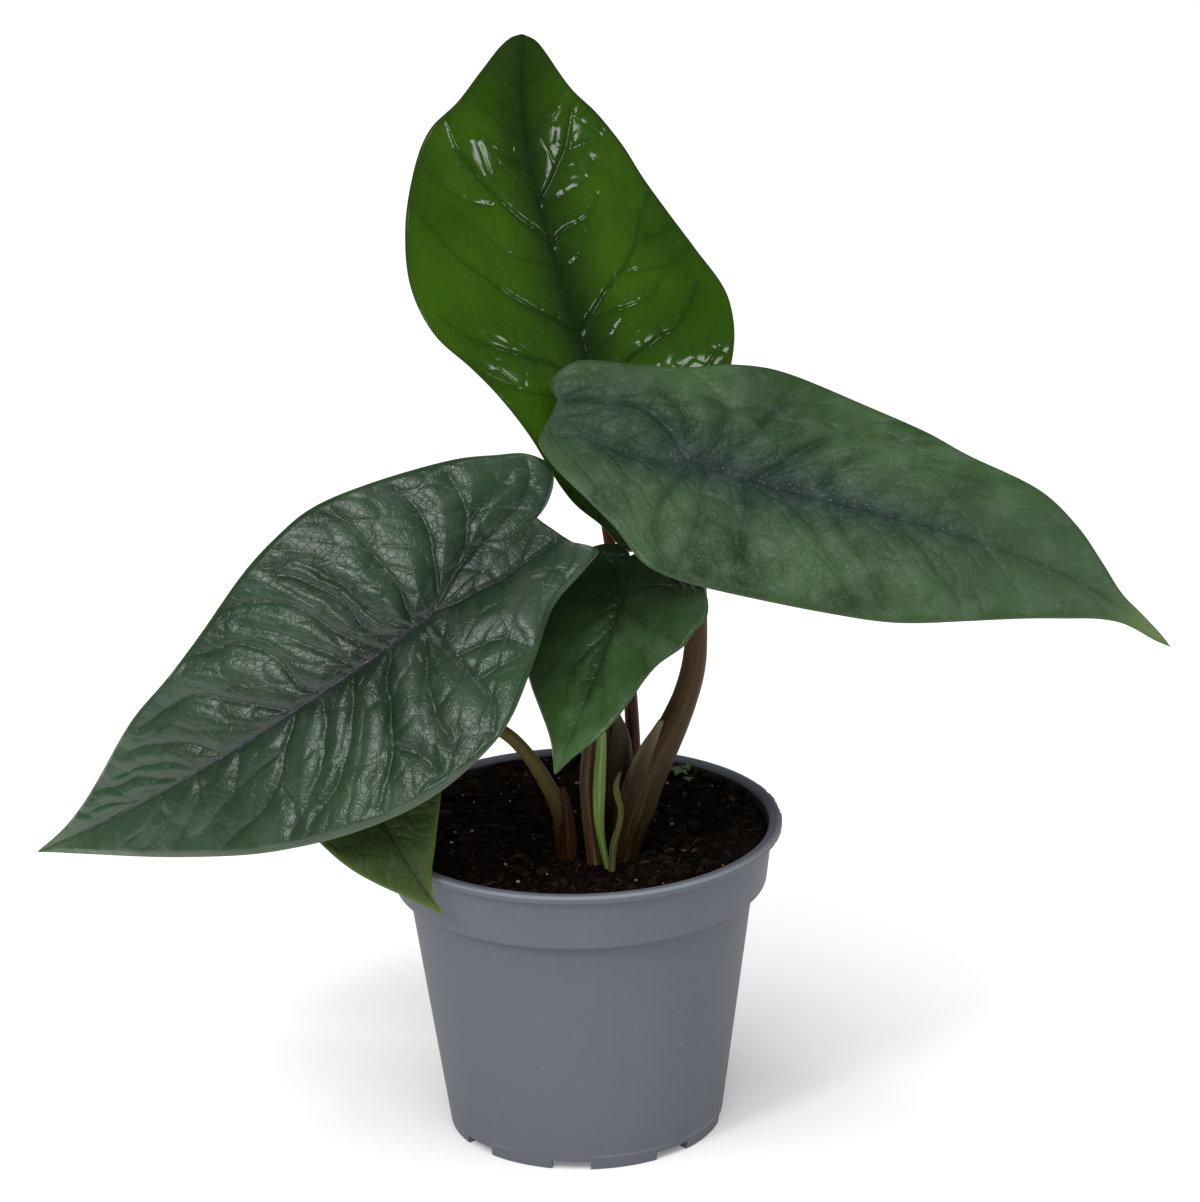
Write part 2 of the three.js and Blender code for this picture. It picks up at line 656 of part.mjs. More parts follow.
function addNode(name, solid, colour, roughness) {
  const material = new THREE.MeshStandardMaterial({ color: colour, roughness, metalness: 0 });
  const mesh = new THREE.Mesh(geometryFrom(solid), material);
  mesh.name = name;
  group.add(mesh);
}

const COLOURS = {
  top: { leaf: 0x2f6b1f, stalk: 0x4a2320 },
  right: { leaf: 0x3c5f45, stalk: 0x5c4033 },
  left: { leaf: 0x23402f, stalk: 0x3f2d25 },
  centre: { leaf: 0x335c30, stalk: 0x7a6250 },
  low: { leaf: 0x35602c, stalk: 0x6f6a3c },
};

addNode("pot", potSolid(), 0x6d717a, 0.55);

const corm = cormSolid(0);
const cormSpace = cormSolid(CLEARANCE);
let soil = soilBlock().subtract(cormSpace);
addNode("corm", corm, 0x8a6b4c, 0.8);

for (const name of Object.keys(LEAVES)) {
  addNode("leaf_" + name, blade(LEAVES[name]), COLOURS[name].leaf, 0.45);
  const bladeSpace = blade(LEAVES[name], CLEARANCE, 8);
  const petiole = stalkWithSheath(name, 0).subtract(cormSpace).subtract(bladeSpace);
  const pieces = petiole.decompose().sort((a, b) => b.volume() - a.volume());
  addNode("petiole_" + name, pieces[0], COLOURS[name].stalk, 0.6);
  soil = soil.subtract(stalkWithSheath(name, CLEARANCE));
}

for (const [name, spec, colour] of [["spear", SPEAR, 0x7fae45], ["scale_leaf", SCALE_LEAF, 0x8c8a4e]]) {
  addNode(name, stalkSolid(spec, 0, 8, 12).subtract(cormSpace), colour, 0.6);
  soil = soil.subtract(stalkSolid(spec, CLEARANCE, 8, 12));
}

const soilPieces = soil.decompose().sort((a, b) => b.volume() - a.volume());
addNode("soil", soilPieces[0], 0x2a1f19, 0.95);

export default group;
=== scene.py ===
import math

import bpy
import numpy as np
from mathutils import Matrix, Vector, noise


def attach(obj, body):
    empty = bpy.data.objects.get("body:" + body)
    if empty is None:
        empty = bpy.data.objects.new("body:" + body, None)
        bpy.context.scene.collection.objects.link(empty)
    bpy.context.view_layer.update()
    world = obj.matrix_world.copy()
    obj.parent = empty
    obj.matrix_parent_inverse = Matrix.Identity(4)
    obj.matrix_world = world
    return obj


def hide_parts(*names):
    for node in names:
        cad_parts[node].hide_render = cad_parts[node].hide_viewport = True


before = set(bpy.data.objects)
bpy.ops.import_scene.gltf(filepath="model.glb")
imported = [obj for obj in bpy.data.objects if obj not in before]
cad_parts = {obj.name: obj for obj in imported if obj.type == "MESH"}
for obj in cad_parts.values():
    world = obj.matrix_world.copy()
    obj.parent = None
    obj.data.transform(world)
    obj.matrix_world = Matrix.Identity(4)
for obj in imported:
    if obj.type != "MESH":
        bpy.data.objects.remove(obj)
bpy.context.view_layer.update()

# Looks of a young potted alocasia: fine leaves with their veins, stalks, peat and pot.
# Shapes are in millimetres and turned to metres when a mesh is made. Materials and lights
# are in metres.
MM = 0.001

# Camera, fitted to the rim, band and base of the pot
CAMERA_DISTANCE = 1500.0
CAMERA_ELEVATION = 19.465
CAMERA_ROLL = 1.247
CAMERA_TARGET = (7.42, 0.0, 163.54)
FOCAL_PIXELS = 5136.3
IMAGE_LONG_SIDE = 1202
SENSOR = 36.0


def add_camera():
    e = math.radians(CAMERA_ELEVATION)
    r = math.radians(CAMERA_ROLL)
    ahead = Vector((0, math.cos(e), -math.sin(e)))
    right = Vector((1, 0, 0))
    up = right.cross(ahead)
    x_axis = math.cos(r) * right - math.sin(r) * up
    y_axis = math.sin(r) * right + math.cos(r) * up
    place = Vector(CAMERA_TARGET) - CAMERA_DISTANCE * ahead
    data = bpy.data.cameras.new("camera")
    data.sensor_fit = "AUTO"
    data.sensor_width = SENSOR
    data.lens = FOCAL_PIXELS * SENSOR / IMAGE_LONG_SIDE
    data.clip_start = 0.05
    data.clip_end = 60
    camera = bpy.data.objects.new("camera", data)
    turn = Matrix((x_axis, y_axis, -ahead)).transposed().to_4x4()
    camera.matrix_world = Matrix.Translation(place * MM) @ turn
    bpy.context.scene.collection.objects.link(camera)
    bpy.context.scene.camera = camera


# Node materials
class Shader:
    """A principled material with short calls for the nodes that feed it."""

    def __init__(self, name):
        self.material = bpy.data.materials.new(name)
        self.material.use_nodes = True
        self.tree = self.material.node_tree
        self.tree.nodes.clear()
        self.out = self.tree.nodes.new("ShaderNodeOutputMaterial")
        self.bsdf = self.tree.nodes.new("ShaderNodeBsdfPrincipled")
        self.tree.links.new(self.bsdf.outputs[0], self.out.inputs["Surface"])

    def feed(self, socket, value):
        if isinstance(value, bpy.types.NodeSocket):
            self.tree.links.new(value, socket)
        elif hasattr(socket.default_value, "__len__"):
            size = len(socket.default_value)
            socket.default_value = (tuple(value) + (1.0,))[:size]
        else:
            socket.default_value = value

    def set(self, **values):
        for name, value in values.items():
            self.feed(self.bsdf.inputs[name.replace("_", " ")], value)

    def node(self, kind, out=0, inputs=(), **settings):
        n = self.tree.nodes.new(kind)
        for key, value in settings.items():
            setattr(n, key, value)
        for key, value in dict(inputs).items():
            self.feed(n.inputs[key], value)
        return n.outputs[out]

    def attribute(self, name, out="Fac"):
        return self.node("ShaderNodeAttribute", out, attribute_name=name)

    def math(self, operation, a, b=0.0, c=0.0, clamp=False):
        return self.node("ShaderNodeMath", 0, {0: a, 1: b, 2: c}, operation=operation, use_clamp=clamp)

    def times(self, a, b, clamp=False):
        return self.math("MULTIPLY", a, b, clamp=clamp)

    def sum_of(self, a, share, b):
        """A share of a, added to b."""
        return self.math("MULTIPLY_ADD", a, share, b)

    def ramp(self, value, low, high):
        """0 below low, 1 above high, smooth between."""
        return self.node(
            "ShaderNodeMapRange", 0, {"Value": value, "From Min": low, "From Max": high},
            interpolation_type="SMOOTHSTEP",
        )

    def mix(self, amount, a, b):
        n = self.tree.nodes.new("ShaderNodeMix")
        n.data_type = "RGBA"
        for socket, value in ((0, amount), (6, a), (7, b)):
            self.feed(n.inputs[socket], value)
        return n.outputs[2]

    def coats(self, colour, *steps):
        """The colour with others over it, each as a mask, its greatest share and the colour."""
        for mask, share, over in steps:
            colour = self.mix(self.times(mask, share), colour, over)
        return colour

    def noise(self, vector, scale, detail=3.0, rough=0.55):
        return self.node(
            "ShaderNodeTexNoise", 0,
            {"Vector": vector, "Scale": scale, "Detail": detail, "Roughness": rough},
        )

    def edges(self, vector, scale):
        """Distance from the edges of irregular cells."""
        return self.node(
            "ShaderNodeTexVoronoi", "Distance", {"Vector": vector, "Scale": scale, "Randomness": 0.9},
            feature="DISTANCE_TO_EDGE",
        )

    def stretched(self, vector, x, y, z):
        return self.node("ShaderNodeVectorMath", 0, {0: vector, 1: (x, y, z)}, operation="MULTIPLY")

    def part(self, vector, axis):
        return self.node("ShaderNodeSeparateXYZ", axis, {0: vector})

    def position(self):
        return self.node("ShaderNodeTexCoord", "Object")

    def bump(self, height, distance, strength=1.0):
        inputs = {"Height": height, "Distance": distance, "Strength": strength}
        self.feed(self.bsdf.inputs["Normal"], self.node("ShaderNodeBump", 0, inputs))


# Meshes
def make_object(name, points, faces, material, values=None, smooth=True):
    """An object from points in millimetres and faces, with named values for each point."""
    mesh = bpy.data.meshes.new(name)
    mesh.from_pydata((np.asarray(points) * MM).tolist(), [], [tuple(f) for f in faces])
    mesh.validate(verbose=False)
    for key, data in (values or {}).items():
        data = np.asarray(data, np.float32)
        kind, field = ("FLOAT_VECTOR", "vector") if data.ndim == 2 else ("FLOAT", "value")
        attribute = mesh.attributes.new(key, kind, "POINT")
        attribute.data.foreach_set(field, data.ravel())
    mesh.polygons.foreach_set("use_smooth", [smooth] * len(mesh.polygons))
    mesh.materials.append(material)
    mesh.update()
    item = bpy.data.objects.new(name, mesh)
    bpy.context.scene.collection.objects.link(item)
    return item


def keep(item, slot, *nodes):
    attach(item, "root")
    if nodes:
        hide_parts(*nodes)


def path(text):
    """Points that are written as x,y or with further values."""
    return [tuple(float(v) for v in point.split(",")) for point in text.split()]


def smooth_path(points, count):
    """Evenly spaced points of a centripetal curve through the given ones."""
    pts = np.array([list(p) + [0.0] * (3 - len(p)) for p in points], float)
    ends = np.vstack([2 * pts[0] - pts[1], pts, 2 * pts[-1] - pts[-2]])
    spans = len(pts) - 1

    def gap(a, b):
        return np.maximum(np.linalg.norm(b - a, axis=1), 1e-9)[:, None] ** 0.5

    def at(t):
        place = np.clip(np.asarray(t, float), 0, 1) * spans
        k = np.minimum(place.astype(int), spans - 1)
        w = (place - k)[:, None]
        p0, p1, p2, p3 = ends[k], ends[k + 1], ends[k + 2], ends[k + 3]
        d0, d1, d2 = gap(p0, p1), gap(p1, p2), gap(p2, p3)
        t1 = ((p1 - p0) / d0 - (p2 - p0) / (d0 + d1) + (p2 - p1) / d1) * d1
        t2 = ((p2 - p1) / d1 - (p3 - p1) / (d1 + d2) + (p3 - p2) / d2) * d1
        return p1 + t1 * w + (3 * (p2 - p1) - 2 * t1 - t2) * w**2 + (2 * (p1 - p2) + t1 + t2) * w**3

    t = np.linspace(0, 1, 401)
    run = np.concatenate([[0], np.cumsum(np.linalg.norm(np.diff(at(t), axis=0), axis=1))])
    return at(np.interp(np.linspace(0, run[-1], count + 1), run, t))


def ring_faces(grid):
    """Faces between rows of point numbers, where each row is a closed ring."""
    nxt = np.roll(grid, -1, axis=1)
    return np.stack([grid[:-1], nxt[:-1], nxt[1:], grid[1:]], -1).reshape(-1, 4)


def cap_faces(ring, middle):
    """Triangles from a middle point to a ring."""
    return [[middle, a, b] for a, b in zip(ring, np.roll(ring, -1))]


def merge(parts):
    """One mesh from several, each as points, faces and lengthwise values."""
    points, faces, rings, start = [], [], [], 0
    for p, f, r in parts:
        points.append(p)
        faces += [[i + start for i in face] for face in f]
        rings.append(r)
        start += len(p)
    return np.concatenate(points), faces, np.concatenate(rings)


# Leaves. The flat leaf has its attachment at 0,0 and its tip along +y.
VEIN_REACH = 0.17
VEIN_SAG = 0.12
BASE_ROW = 0.1
MARGIN_POINTS = 300
MARGIN_WAVES = 3.5
RIB_DEPTH = 1.5
BLADE = 0.7
RIM_WIDTH = 0.9
FRONT_SHARE = 0.58
BACK_DROOP = 20
CURL_LENGTH = 50
TIP_UNFOLDS = 0.7
LONG_LEAF = 100
ROWS = 280
COLUMNS = 84
UNDER_COLUMNS = 20

# For each leaf: where its stalk meets it, which way it points there in degrees, and how it
# bends. Droop runs along the midrib, with the distance and its square, sway turns it
# sideways, fold lifts both halves, curl rounds them over CURL_LENGTH, and wave is the height
# of the waved margin. Rows are those of the solid. Left and right are the margins, tip first.
LEAVES = {
    "top": dict(
        attach=(9.3, 28, 214.7), heading=115.2, pitch=56.4, roll=12.5, length=120.4, droop=(48.9, -69.6),
        sway=9.4, fold=9.2, curl=-9.9, wave=1, rows=24,
        left=path("""
        0,120.4 -4.2,118.8 -8.4,115.4 -15.5,107 -23.5,97.5 -34,88.4 -43.7,73 -51.4,56 -54.8,39 -52.2,24
        -44.7,13 -37,1 -30,-9.6 -20.7,-28 -13,-36 -7,-43.7 -3,-44.5 1,-40
        """),
        right=path("""
        0,120.4 4.6,119 9.2,115.4 19,105.5 27,98.8 33.7,88.8 39,76 51.5,53 56.7,37 54.7,23.5 48.8,9
        40,-5 31,-19 23,-32 16,-41 9,-45.5 4,-44.5 1,-40
        """),
    ),
    "right": dict(
        attach=(34.8, -8, 208.6), heading=-11.4, pitch=-17.8, roll=30.4, length=152.3, droop=(-50.1, 90),
        sway=-2.5, fold=5.6, curl=-16.7, wave=0.7, rows=28,
        left=path("""
        0,152.3 -2,137 -4,130 -10.5,122 -19,112.5 -26.5,99.5 -30,75 -35,60 -43.4,27 -44,13 -40,1 -33,-12
        -28,-27 -22,-42 -16,-46 -10,-46.8 -6,-43
        """),
        right=path("""
        0,152.3 2.5,146 4.4,134 7.5,126.5 15,114 28.5,90 35.5,72 38.8,50 42,20 42.2,8 40,-2 32,-13
        26.5,-23 19,-35.7 11,-43 5,-43.5 -6,-43
        """),
    ),
    "left": dict(
        attach=(-42.1, -30, 170.7), heading=193.3, pitch=-33.5, roll=-47.6, length=152,
        droop=(35.3, 5.2), sway=24.4, fold=9.4, curl=-8.2, wave=0.8, rows=28,
        left=path("""
        0,152 -2.7,142 -8,126.6 -21.5,95.5 -33.5,69.5 -41.6,47 -46,24.5 -44.3,5 -41.5,-2 -31.7,-15.7
        -22.3,-29 -20.3,-42 -19,-48 -11.6,-44.7 -3,-43.2 2,-42.4
        """),
        right=path("""
        0,152 3.2,139 7.7,127.6 22.5,97.5 28.3,79.6 42.2,42.3 45.7,24 46.5,9 41.4,-13 31,-36 24,-46
        18,-53.5 11,-56.2 7,-53.6 3,-46.4 2,-42.4
        """),
    ),
    "centre": dict(
        attach=(13.7, -19, 170.4), heading=245.8, pitch=-42.6, roll=16.8, length=56.2, droop=(4, 2.2),
        sway=12.7, fold=13.2, curl=-6.1, wave=0.6, rows=18,
        left=path("""
        0,56.2 -4,51 -10.6,43.3 -15.6,35 -24,22.5 -32.4,16 -34.6,12 -38,8.5 -36.5,3 -30,-2 -22,-9
        -13,-16.5 -5,-18.5 2,-15
        """),
        right=path("""
        0,56.2 5.4,48.4 13.8,38.2 21,29.6 27,21 30.5,12 30,3 26,-6 20,-13 14.5,-17.5 9,-19.5 5,-18.5
        2,-15
        """),
    ),
    "low": dict(
        attach=(-62.5, -30, 122.4), heading=301, pitch=-45.2, roll=30.8, length=48, droop=(14, 8.2),
        sway=-13.2, fold=8.1, curl=-7.9, wave=0.5, rows=18,
        left=path("""
        -0.5,48 -0.8,42.4 -4.3,36 -10.4,28.2 -18.2,17 -22,9 -22.5,2 -19,-6 -14,-13 -9,-18 -5,-19.5
        -2,-18 0,-15
        """),
        right=path("""
        -0.5,48 3.6,41 7,35.3 10.4,30.3 14.7,23.3 18,16 20.5,8 20,0 17,-8 12.5,-14 8,-18.5 4,-19 0,-15
        """),
    ),
}


def vein_table(text):
    """Side veins, one to a line: strength, then points from the midrib or attachment out."""
    lines = [line.split(maxsplit=1) for line in text.strip().splitlines()]
    return [(float(strength), path(points)) for strength, points in lines]


VEINS = {
    "top": vein_table("""
    1.0 -2,56 -9,61 -17,69 -23,78 -28,92
    1.0 -2,23 -18,32 -31,42 -39,51 -44,61
    0.8 -1,7 -20,14 -31,18 -41,22 -49,29
    0.6 -1,45 -17,49 -24,55 -35,66
    0.5 -18,65 -30,67 -35,72 -40,77
    0.6 0,86 -5,89 -13,94 -18,99
    0.6 0,77 -10,82 -16,87
    0.5 0,94 -9,98 -17,104
    0.4 0,104 -9,111
    0.6 -1,3 -15,3 -30,5 -42,12
    1.0 0,0 -5,-12 -12,-24 -14,-35
    0.7 -4,-9 -16,-13 -27,-12 -36,-5
    1.0 0,66 8,77 14,87 18,100
    0.9 0,52 5,57 14,61 21,70
    0.5 1,66 15,73 23,82
    1.0 0,23 14,36 27,49 35,64 41,74
    0.7 0,87 7,93 14,101
    0.4 0,104 8,110
    0.6 0,43 10,51 15,59
    0.7 3,26 26,33 39,44
    1.0 0,4 14,13 29,20 42,30 48,39
    0.5 31,54 42,58 50,61
    0.4 13,85 20,87 27,91
    0.5 21,42 41,46 50,53
    0.4 0,16 9,20 15,26
    0.7 0,1 18,3 34,5 46,14
    1.0 0,0 6,-12 14,-25 17,-36
    0.7 4,-8 18,-12 28,-11 38,-3
    """),
    "right": vein_table("""
    1.0 0,-1 -7,-9 -12,-20 -10,-32 -6,-41
    0.7 -1,2 -15,4 -22,4 -24,-4
    0.5 -6,-3 -14,-7 -20,-16
    0.6 0,9 -15,13 -30,19 -38,23
    1.0 0,19 -19,32 -33,45 -38,56
    0.5 0,52 -10,55 -22,64 -28,78
    0.5 0,72 -11,74 -23,83 -27,93
    0.5 0,36 -14,42 -28,56 -33,67
    0.4 0,95 -11,101 -18,108
    1.0 0,0 5,-8 6,-20 5,-31 7,-40
    0.8 3,0 18,-3 29,-2 37,5 39,20
    0.4 2,5 19,8 32,9
    0.7 0,16 16,21 30,23 38,27
    0.7 0,24 13,40 24,50 35,59
    0.5 0,40 19,57 33,68
    0.5 0,61 13,75 25,88
    0.4 0,86 10,97 17,106
    """),
    "left": vein_table("""
    1.0 0,-1 5,-12 9,-21 17,-28 28,-31
    0.6 14,-25 16,-35 16,-44
    0.9 4,-10 8,-26 8,-38 10,-47 17,-52
    0.8 2,4 13,2 26,2 37,3 43,7
    0.7 3,-6 14,-13 26,-17 36,-16
    0.8 0,5 7,10 15,13 23,15 36,24
    1.0 0,9 6,16 15,17 24,20 36,30
    0.9 0,16 10,23 24,30 32,39 38,53
    0.5 0,25 9,30 20,38 30,50
    1.0 0,37 5,42 16,44 26,53 30,69
    1.0 0,48 9,58 18,70 21,82 20,95
    0.8 0,73 9,82 14,94 16,103
    0.5 0,82 8,93 11,110
    0.8 0,88 7,102 9,120
    0.4 0,101 4,115 5,127
    1.0 0,-2 -3,-13 -6,-28 -8,-42
    0.9 0,1 -13,1 -27,-1 -37,0 -42,4
    0.6 -16,0 -20,-12 -28,-17
    0.5 -26,-1 -27,-9 -29,-16
    1.0 0,13 -13,21 -28,28 -39,39
    0.7 -26,27 -32,23 -40,21
    0.5 -6,4 -19,11 -29,14 -36,14
    0.6 0,26 -17,36 -27,46 -31,55
    1.0 0,46 -8,54 -17,62 -22,72 -23,83
    0.5 -17,61 -24,59 -29,60
    0.5 -9,55 -10,66 -13,77
    0.5 0,36 -20,48 -31,61
    0.6 0,66 -11,75 -17,90
    0.6 0,82 -8,86 -15,97
    0.4 0,97 -9,102 -13,108
    """),
    "centre": vein_table("""
    0.8 0,1 8,8 13,17 15,27
    0.8 0,10 6,19 8,26 7,34
    0.7 0,8 -10,14 -19,21 -22,25
    0.8 0,1 -14,9 -30,16
    0.5 0,19 -5,27 -9,36
    0.6 1,0 13,2 24,8
    0.9 0,0 4,-8 9,-14
    0.9 0,0 -6,-7 -13,-11
    0.5 -3,-2 -16,-2 -28,2
    """),
    "low": vein_table("""
    0.7 0,20 -5,24 -9,28
    0.7 0,11 -8,17 -15,21
    0.8 0,3 -10,8 -20,13
    0.7 0,19 4,25 9,30
    0.7 0,10 7,16 13,23
    0.8 0,2 9,7 18,14
    0.8 0,0 -5,-8 -6,-15
    0.8 0,0 5,-8 6,-15
    0.5 0,29 -4,34
    0.5 0,28 4,34
    """),
}


class Surface:
    """The bent surface of a leaf: a flat point and a height above it go to a point in space."""

    def __init__(self, leaf):
        self.leaf = leaf
        h, p, r = np.radians([leaf["heading"], leaf["pitch"], leaf["roll"]])
        self.ahead = np.array([np.cos(h) * np.cos(p), np.sin(h) * np.cos(p), np.sin(p)])
        level = np.array([np.sin(h), -np.cos(h), 0])
        self.side = np.cos(r) * level - np.sin(r) * np.cross(level, self.ahead)
        self.face = np.cross(self.side, self.ahead)
        self.ys = np.linspace(-0.7 * leaf["length"], 1.15 * leaf["length"], 241)
        forward, _, _ = self.frames((self.ys[1:] + self.ys[:-1]) / 2)
        rib = np.vstack([[0, 0, 0], np.cumsum(forward * np.diff(self.ys)[:, None], axis=0)])
        start = [np.interp(0, self.ys, rib[:, i]) for i in range(3)]
        self.rib = rib - start + np.array(leaf["attach"])

    def frames(self, y):
        """Directions ahead, across and upwards at a distance along the midrib."""
        leaf = self.leaf
        u = np.asarray(y, float) / leaf["length"]
        droop = np.where(u >= 0, leaf["droop"][0] * u + leaf["droop"][1] * u * u, BACK_DROOP * u)
        bend = np.radians(droop)[..., None]
        turn = np.radians(leaf["sway"] * u)[..., None]
        along = np.cos(bend) * self.ahead - np.sin(bend) * self.face
        normal = np.sin(bend) * self.ahead + np.cos(bend) * self.face
        across = np.cos(turn) * self.side - np.sin(turn) * along
        return np.cos(turn) * along + np.sin(turn) * self.side, across, normal

    def place(self, x, y, height):
        _, across, normal = self.frames(y)
        fold = np.radians(self.leaf["fold"] * (1 - TIP_UNFOLDS * np.clip(y / self.leaf["length"], 0, 1)))
        curl = np.radians(self.leaf["curl"]) / CURL_LENGTH
        out = np.abs(x)
        reach = (np.sin(fold + curl * out) - np.sin(fold)) / curl
        lift = -(np.cos(fold + curl * out) - np.cos(fold)) / curl
        middle = np.stack([np.interp(y, self.ys, self.rib[:, i]) for i in range(3)], -1)
        sideways, upwards = (np.sign(x) * reach)[..., None], (lift + height)[..., None]
        return middle + across * sideways + normal * upwards


def leaf_flat(leaf, half, t, v):
    """Flat points of one half, with t from tip to notch along the rows and v from midrib to margin."""
    end = MARGIN_POINTS
    margin = smooth_path(leaf[("left", "right")[half]], end)[:, :2]
    base = next(i for i in range(11, end + 1) if margin[i, 1] < BASE_ROW * leaf["length"])
    split = round(leaf["rows"] * FRONT_SHARE) / leaf["rows"]
    front = t <= split
    s = np.clip(np.where(front, t / split, (t - split) / (1 - split)), 0, 1)
    inner_y = leaf["length"] * (1 - s - VEIN_REACH * np.sin(np.pi * s) * s**0.3)
    along_rib = np.stack([margin[0, 0] * (1 - s), inner_y], -1)
    inner = np.where(front[:, None], along_rib, margin[end] * (s**1.5)[:, None])
    place = np.where(front, base * s, base + (end - base) * s)
    outer = np.stack([np.interp(place, np.arange(end + 1), margin[:, i]) for i in range(2)], -1)
    width = np.linalg.norm(outer - inner, axis=1)
    flat = inner[:, None] + (outer - inner)[:, None] * v[None, :, None]
    fade = 0.3 + 0.7 / (1 + np.exp((t - split - 0.03) * 60))
    flat[..., 1] -= VEIN_SAG * (width * fade)[:, None] * np.sin(np.pi * v)[None]
    return flat, width[:, None] * (1 - v)[None]


def nearest(points, line):
    """Distance of flat points from a line, and how far along it the nearest place is, 0 to 1."""
    best, where = np.full(len(points), 1e9), np.zeros(len(points))
    steps = len(line) - 1
    for i in range(steps):
        a, b = line[i], line[i + 1]
        share = np.clip(((points - a) @ (b - a)) / max((b - a) @ (b - a), 1e-9), 0, 1)
        away = np.linalg.norm(points - a - share[:, None] * (b - a), axis=1)
        closer = away < best
        best[closer], where[closer] = away[closer], (i + share[closer]) / steps
    return best, where


# Side of the tables of random values
TABLE = 64


def lattice(points, size, seed):
    """Smooth random values from 0 to 1 over the flat leaf."""
    table = np.random.default_rng(seed).random((TABLE, TABLE))
    q = points / size + 31.3
    k = np.floor(q).astype(int)
    f = q - k
    f = f * f * (3 - 2 * f)
    x, y = k[:, 0] % TABLE, k[:, 1] % TABLE
    x1, y1 = (x + 1) % TABLE, (y + 1) % TABLE
    low = table[x, y] * (1 - f[:, 0]) + table[x1, y] * f[:, 0]
    high = table[x, y1] * (1 - f[:, 0]) + table[x1, y1] * f[:, 0]
    return low * (1 - f[:, 1]) + high * f[:, 1]


def panels(points, size, stretch, seed):
    """Distance in cells from the edges of an irregular net that runs with the side veins."""
    table = np.random.default_rng(seed).random((TABLE, TABLE, 2))
    out, y = np.abs(points[:, 0]), points[:, 1]
    q = np.stack([(0.66 * out + 0.75 * y) / stretch, -0.75 * out + 0.66 * y], -1) / size
    q[:, 1] += np.where(points[:, 0] < 0, 20.0, 0.0)
    k = np.floor(q).astype(int)
    reach = []
    for i in (-1, 0, 1):
        for j in (-1, 0, 1):
            cell = k + (i, j)
            spot = cell + 0.1 + 0.8 * table[cell[:, 0] % TABLE, cell[:, 1] % TABLE]
            reach.append(np.linalg.norm(q - spot, axis=1))
    reach = np.sort(np.stack(reach), axis=0)
    return (reach[1] - reach[0]) / 2


# Relief: sizes are for a leaf of 150 mm and shrink with the root of the length
RELIEF_LENGTH = 150
VEIN_HALO = 3.2
RIB_HALO = 5.5
PANEL_SIZE = 6.3
PANEL_SHOULDER = 4.2
PANEL_EDGE = 0.17
SEAM_WIDTH = 0.07
RELIEF_FADE = 1.9
MEAN_RISE = 0.45
SEAM_DEPTH = 0.06
UNDER_GROOVE = 0.4
PLEATS = 46
PLEAT_INSET = 9
PLEAT_SPREAD = 7


def bell(distance, width):
    return np.exp(-((distance / width) ** 2))


def relief(name, points, to_margin, net_share, stretch):
    """Heights and masks of the veins and of the panels between them."""
    length = LEAVES[name]["length"]
    size = math.sqrt(length / RELIEF_LENGTH)
    groove, halo, gap = np.zeros(len(points)), np.zeros(len(points)), np.full(len(points), 99.0)
    wander = np.stack([lattice(points, 7, 3), lattice(points, 7, 4)], -1) * 1.6 - 0.8
    for strength, line in VEINS[name]:
        away, along = nearest(points + wander * 0.8, smooth_path(line, 10)[:, :2])
        power = strength * (1 - 0.65 * along)
        wide = size * (0.45 + 0.45 * strength) * (1 - 0.45 * along)
        groove = np.maximum(groove, power * bell(away, wide))
        halo = np.maximum(halo, power * bell(away, VEIN_HALO * size))
        gap = np.minimum(gap, away + 2.2 * (1 - power))
    away, along = nearest(points, np.array([[0.0, 0.0], [0.0, length]]))
    rib_wide = size * (0.3 + 0.95 * (1 - along) ** 1.3)
    rib = bell(away, rib_wide)
    rib_halo = bell(away, RIB_HALO * rib_wide) * (1 - 0.5 * along)
    gap = np.minimum(gap, np.maximum(away - 0.4 * rib_wide, 0))
    net = panels(points + 1.2 * wander, PANEL_SIZE * size, stretch, 9)
    rise = (1 - net_share) * (1 - np.exp(-((gap / (PANEL_SHOULDER * size)) ** 1.4)))
    rise = rise + net_share * (1 - np.exp(-((net / PANEL_EDGE) ** 1.3)))
    rise *= 0.55 + 0.9 * lattice(points, 13 * size, 8)
    fade = np.clip(to_margin / (RELIEF_FADE * size), 0, 1)
    fade = fade * fade * (3 - 2 * fade)
    seam = bell(net, SEAM_WIDTH) * (1 - groove) * fade
    return dict(vein=groove * fade, halo=halo, rib=rib, ribhalo=rib_halo, rise=rise * fade, seam=seam)


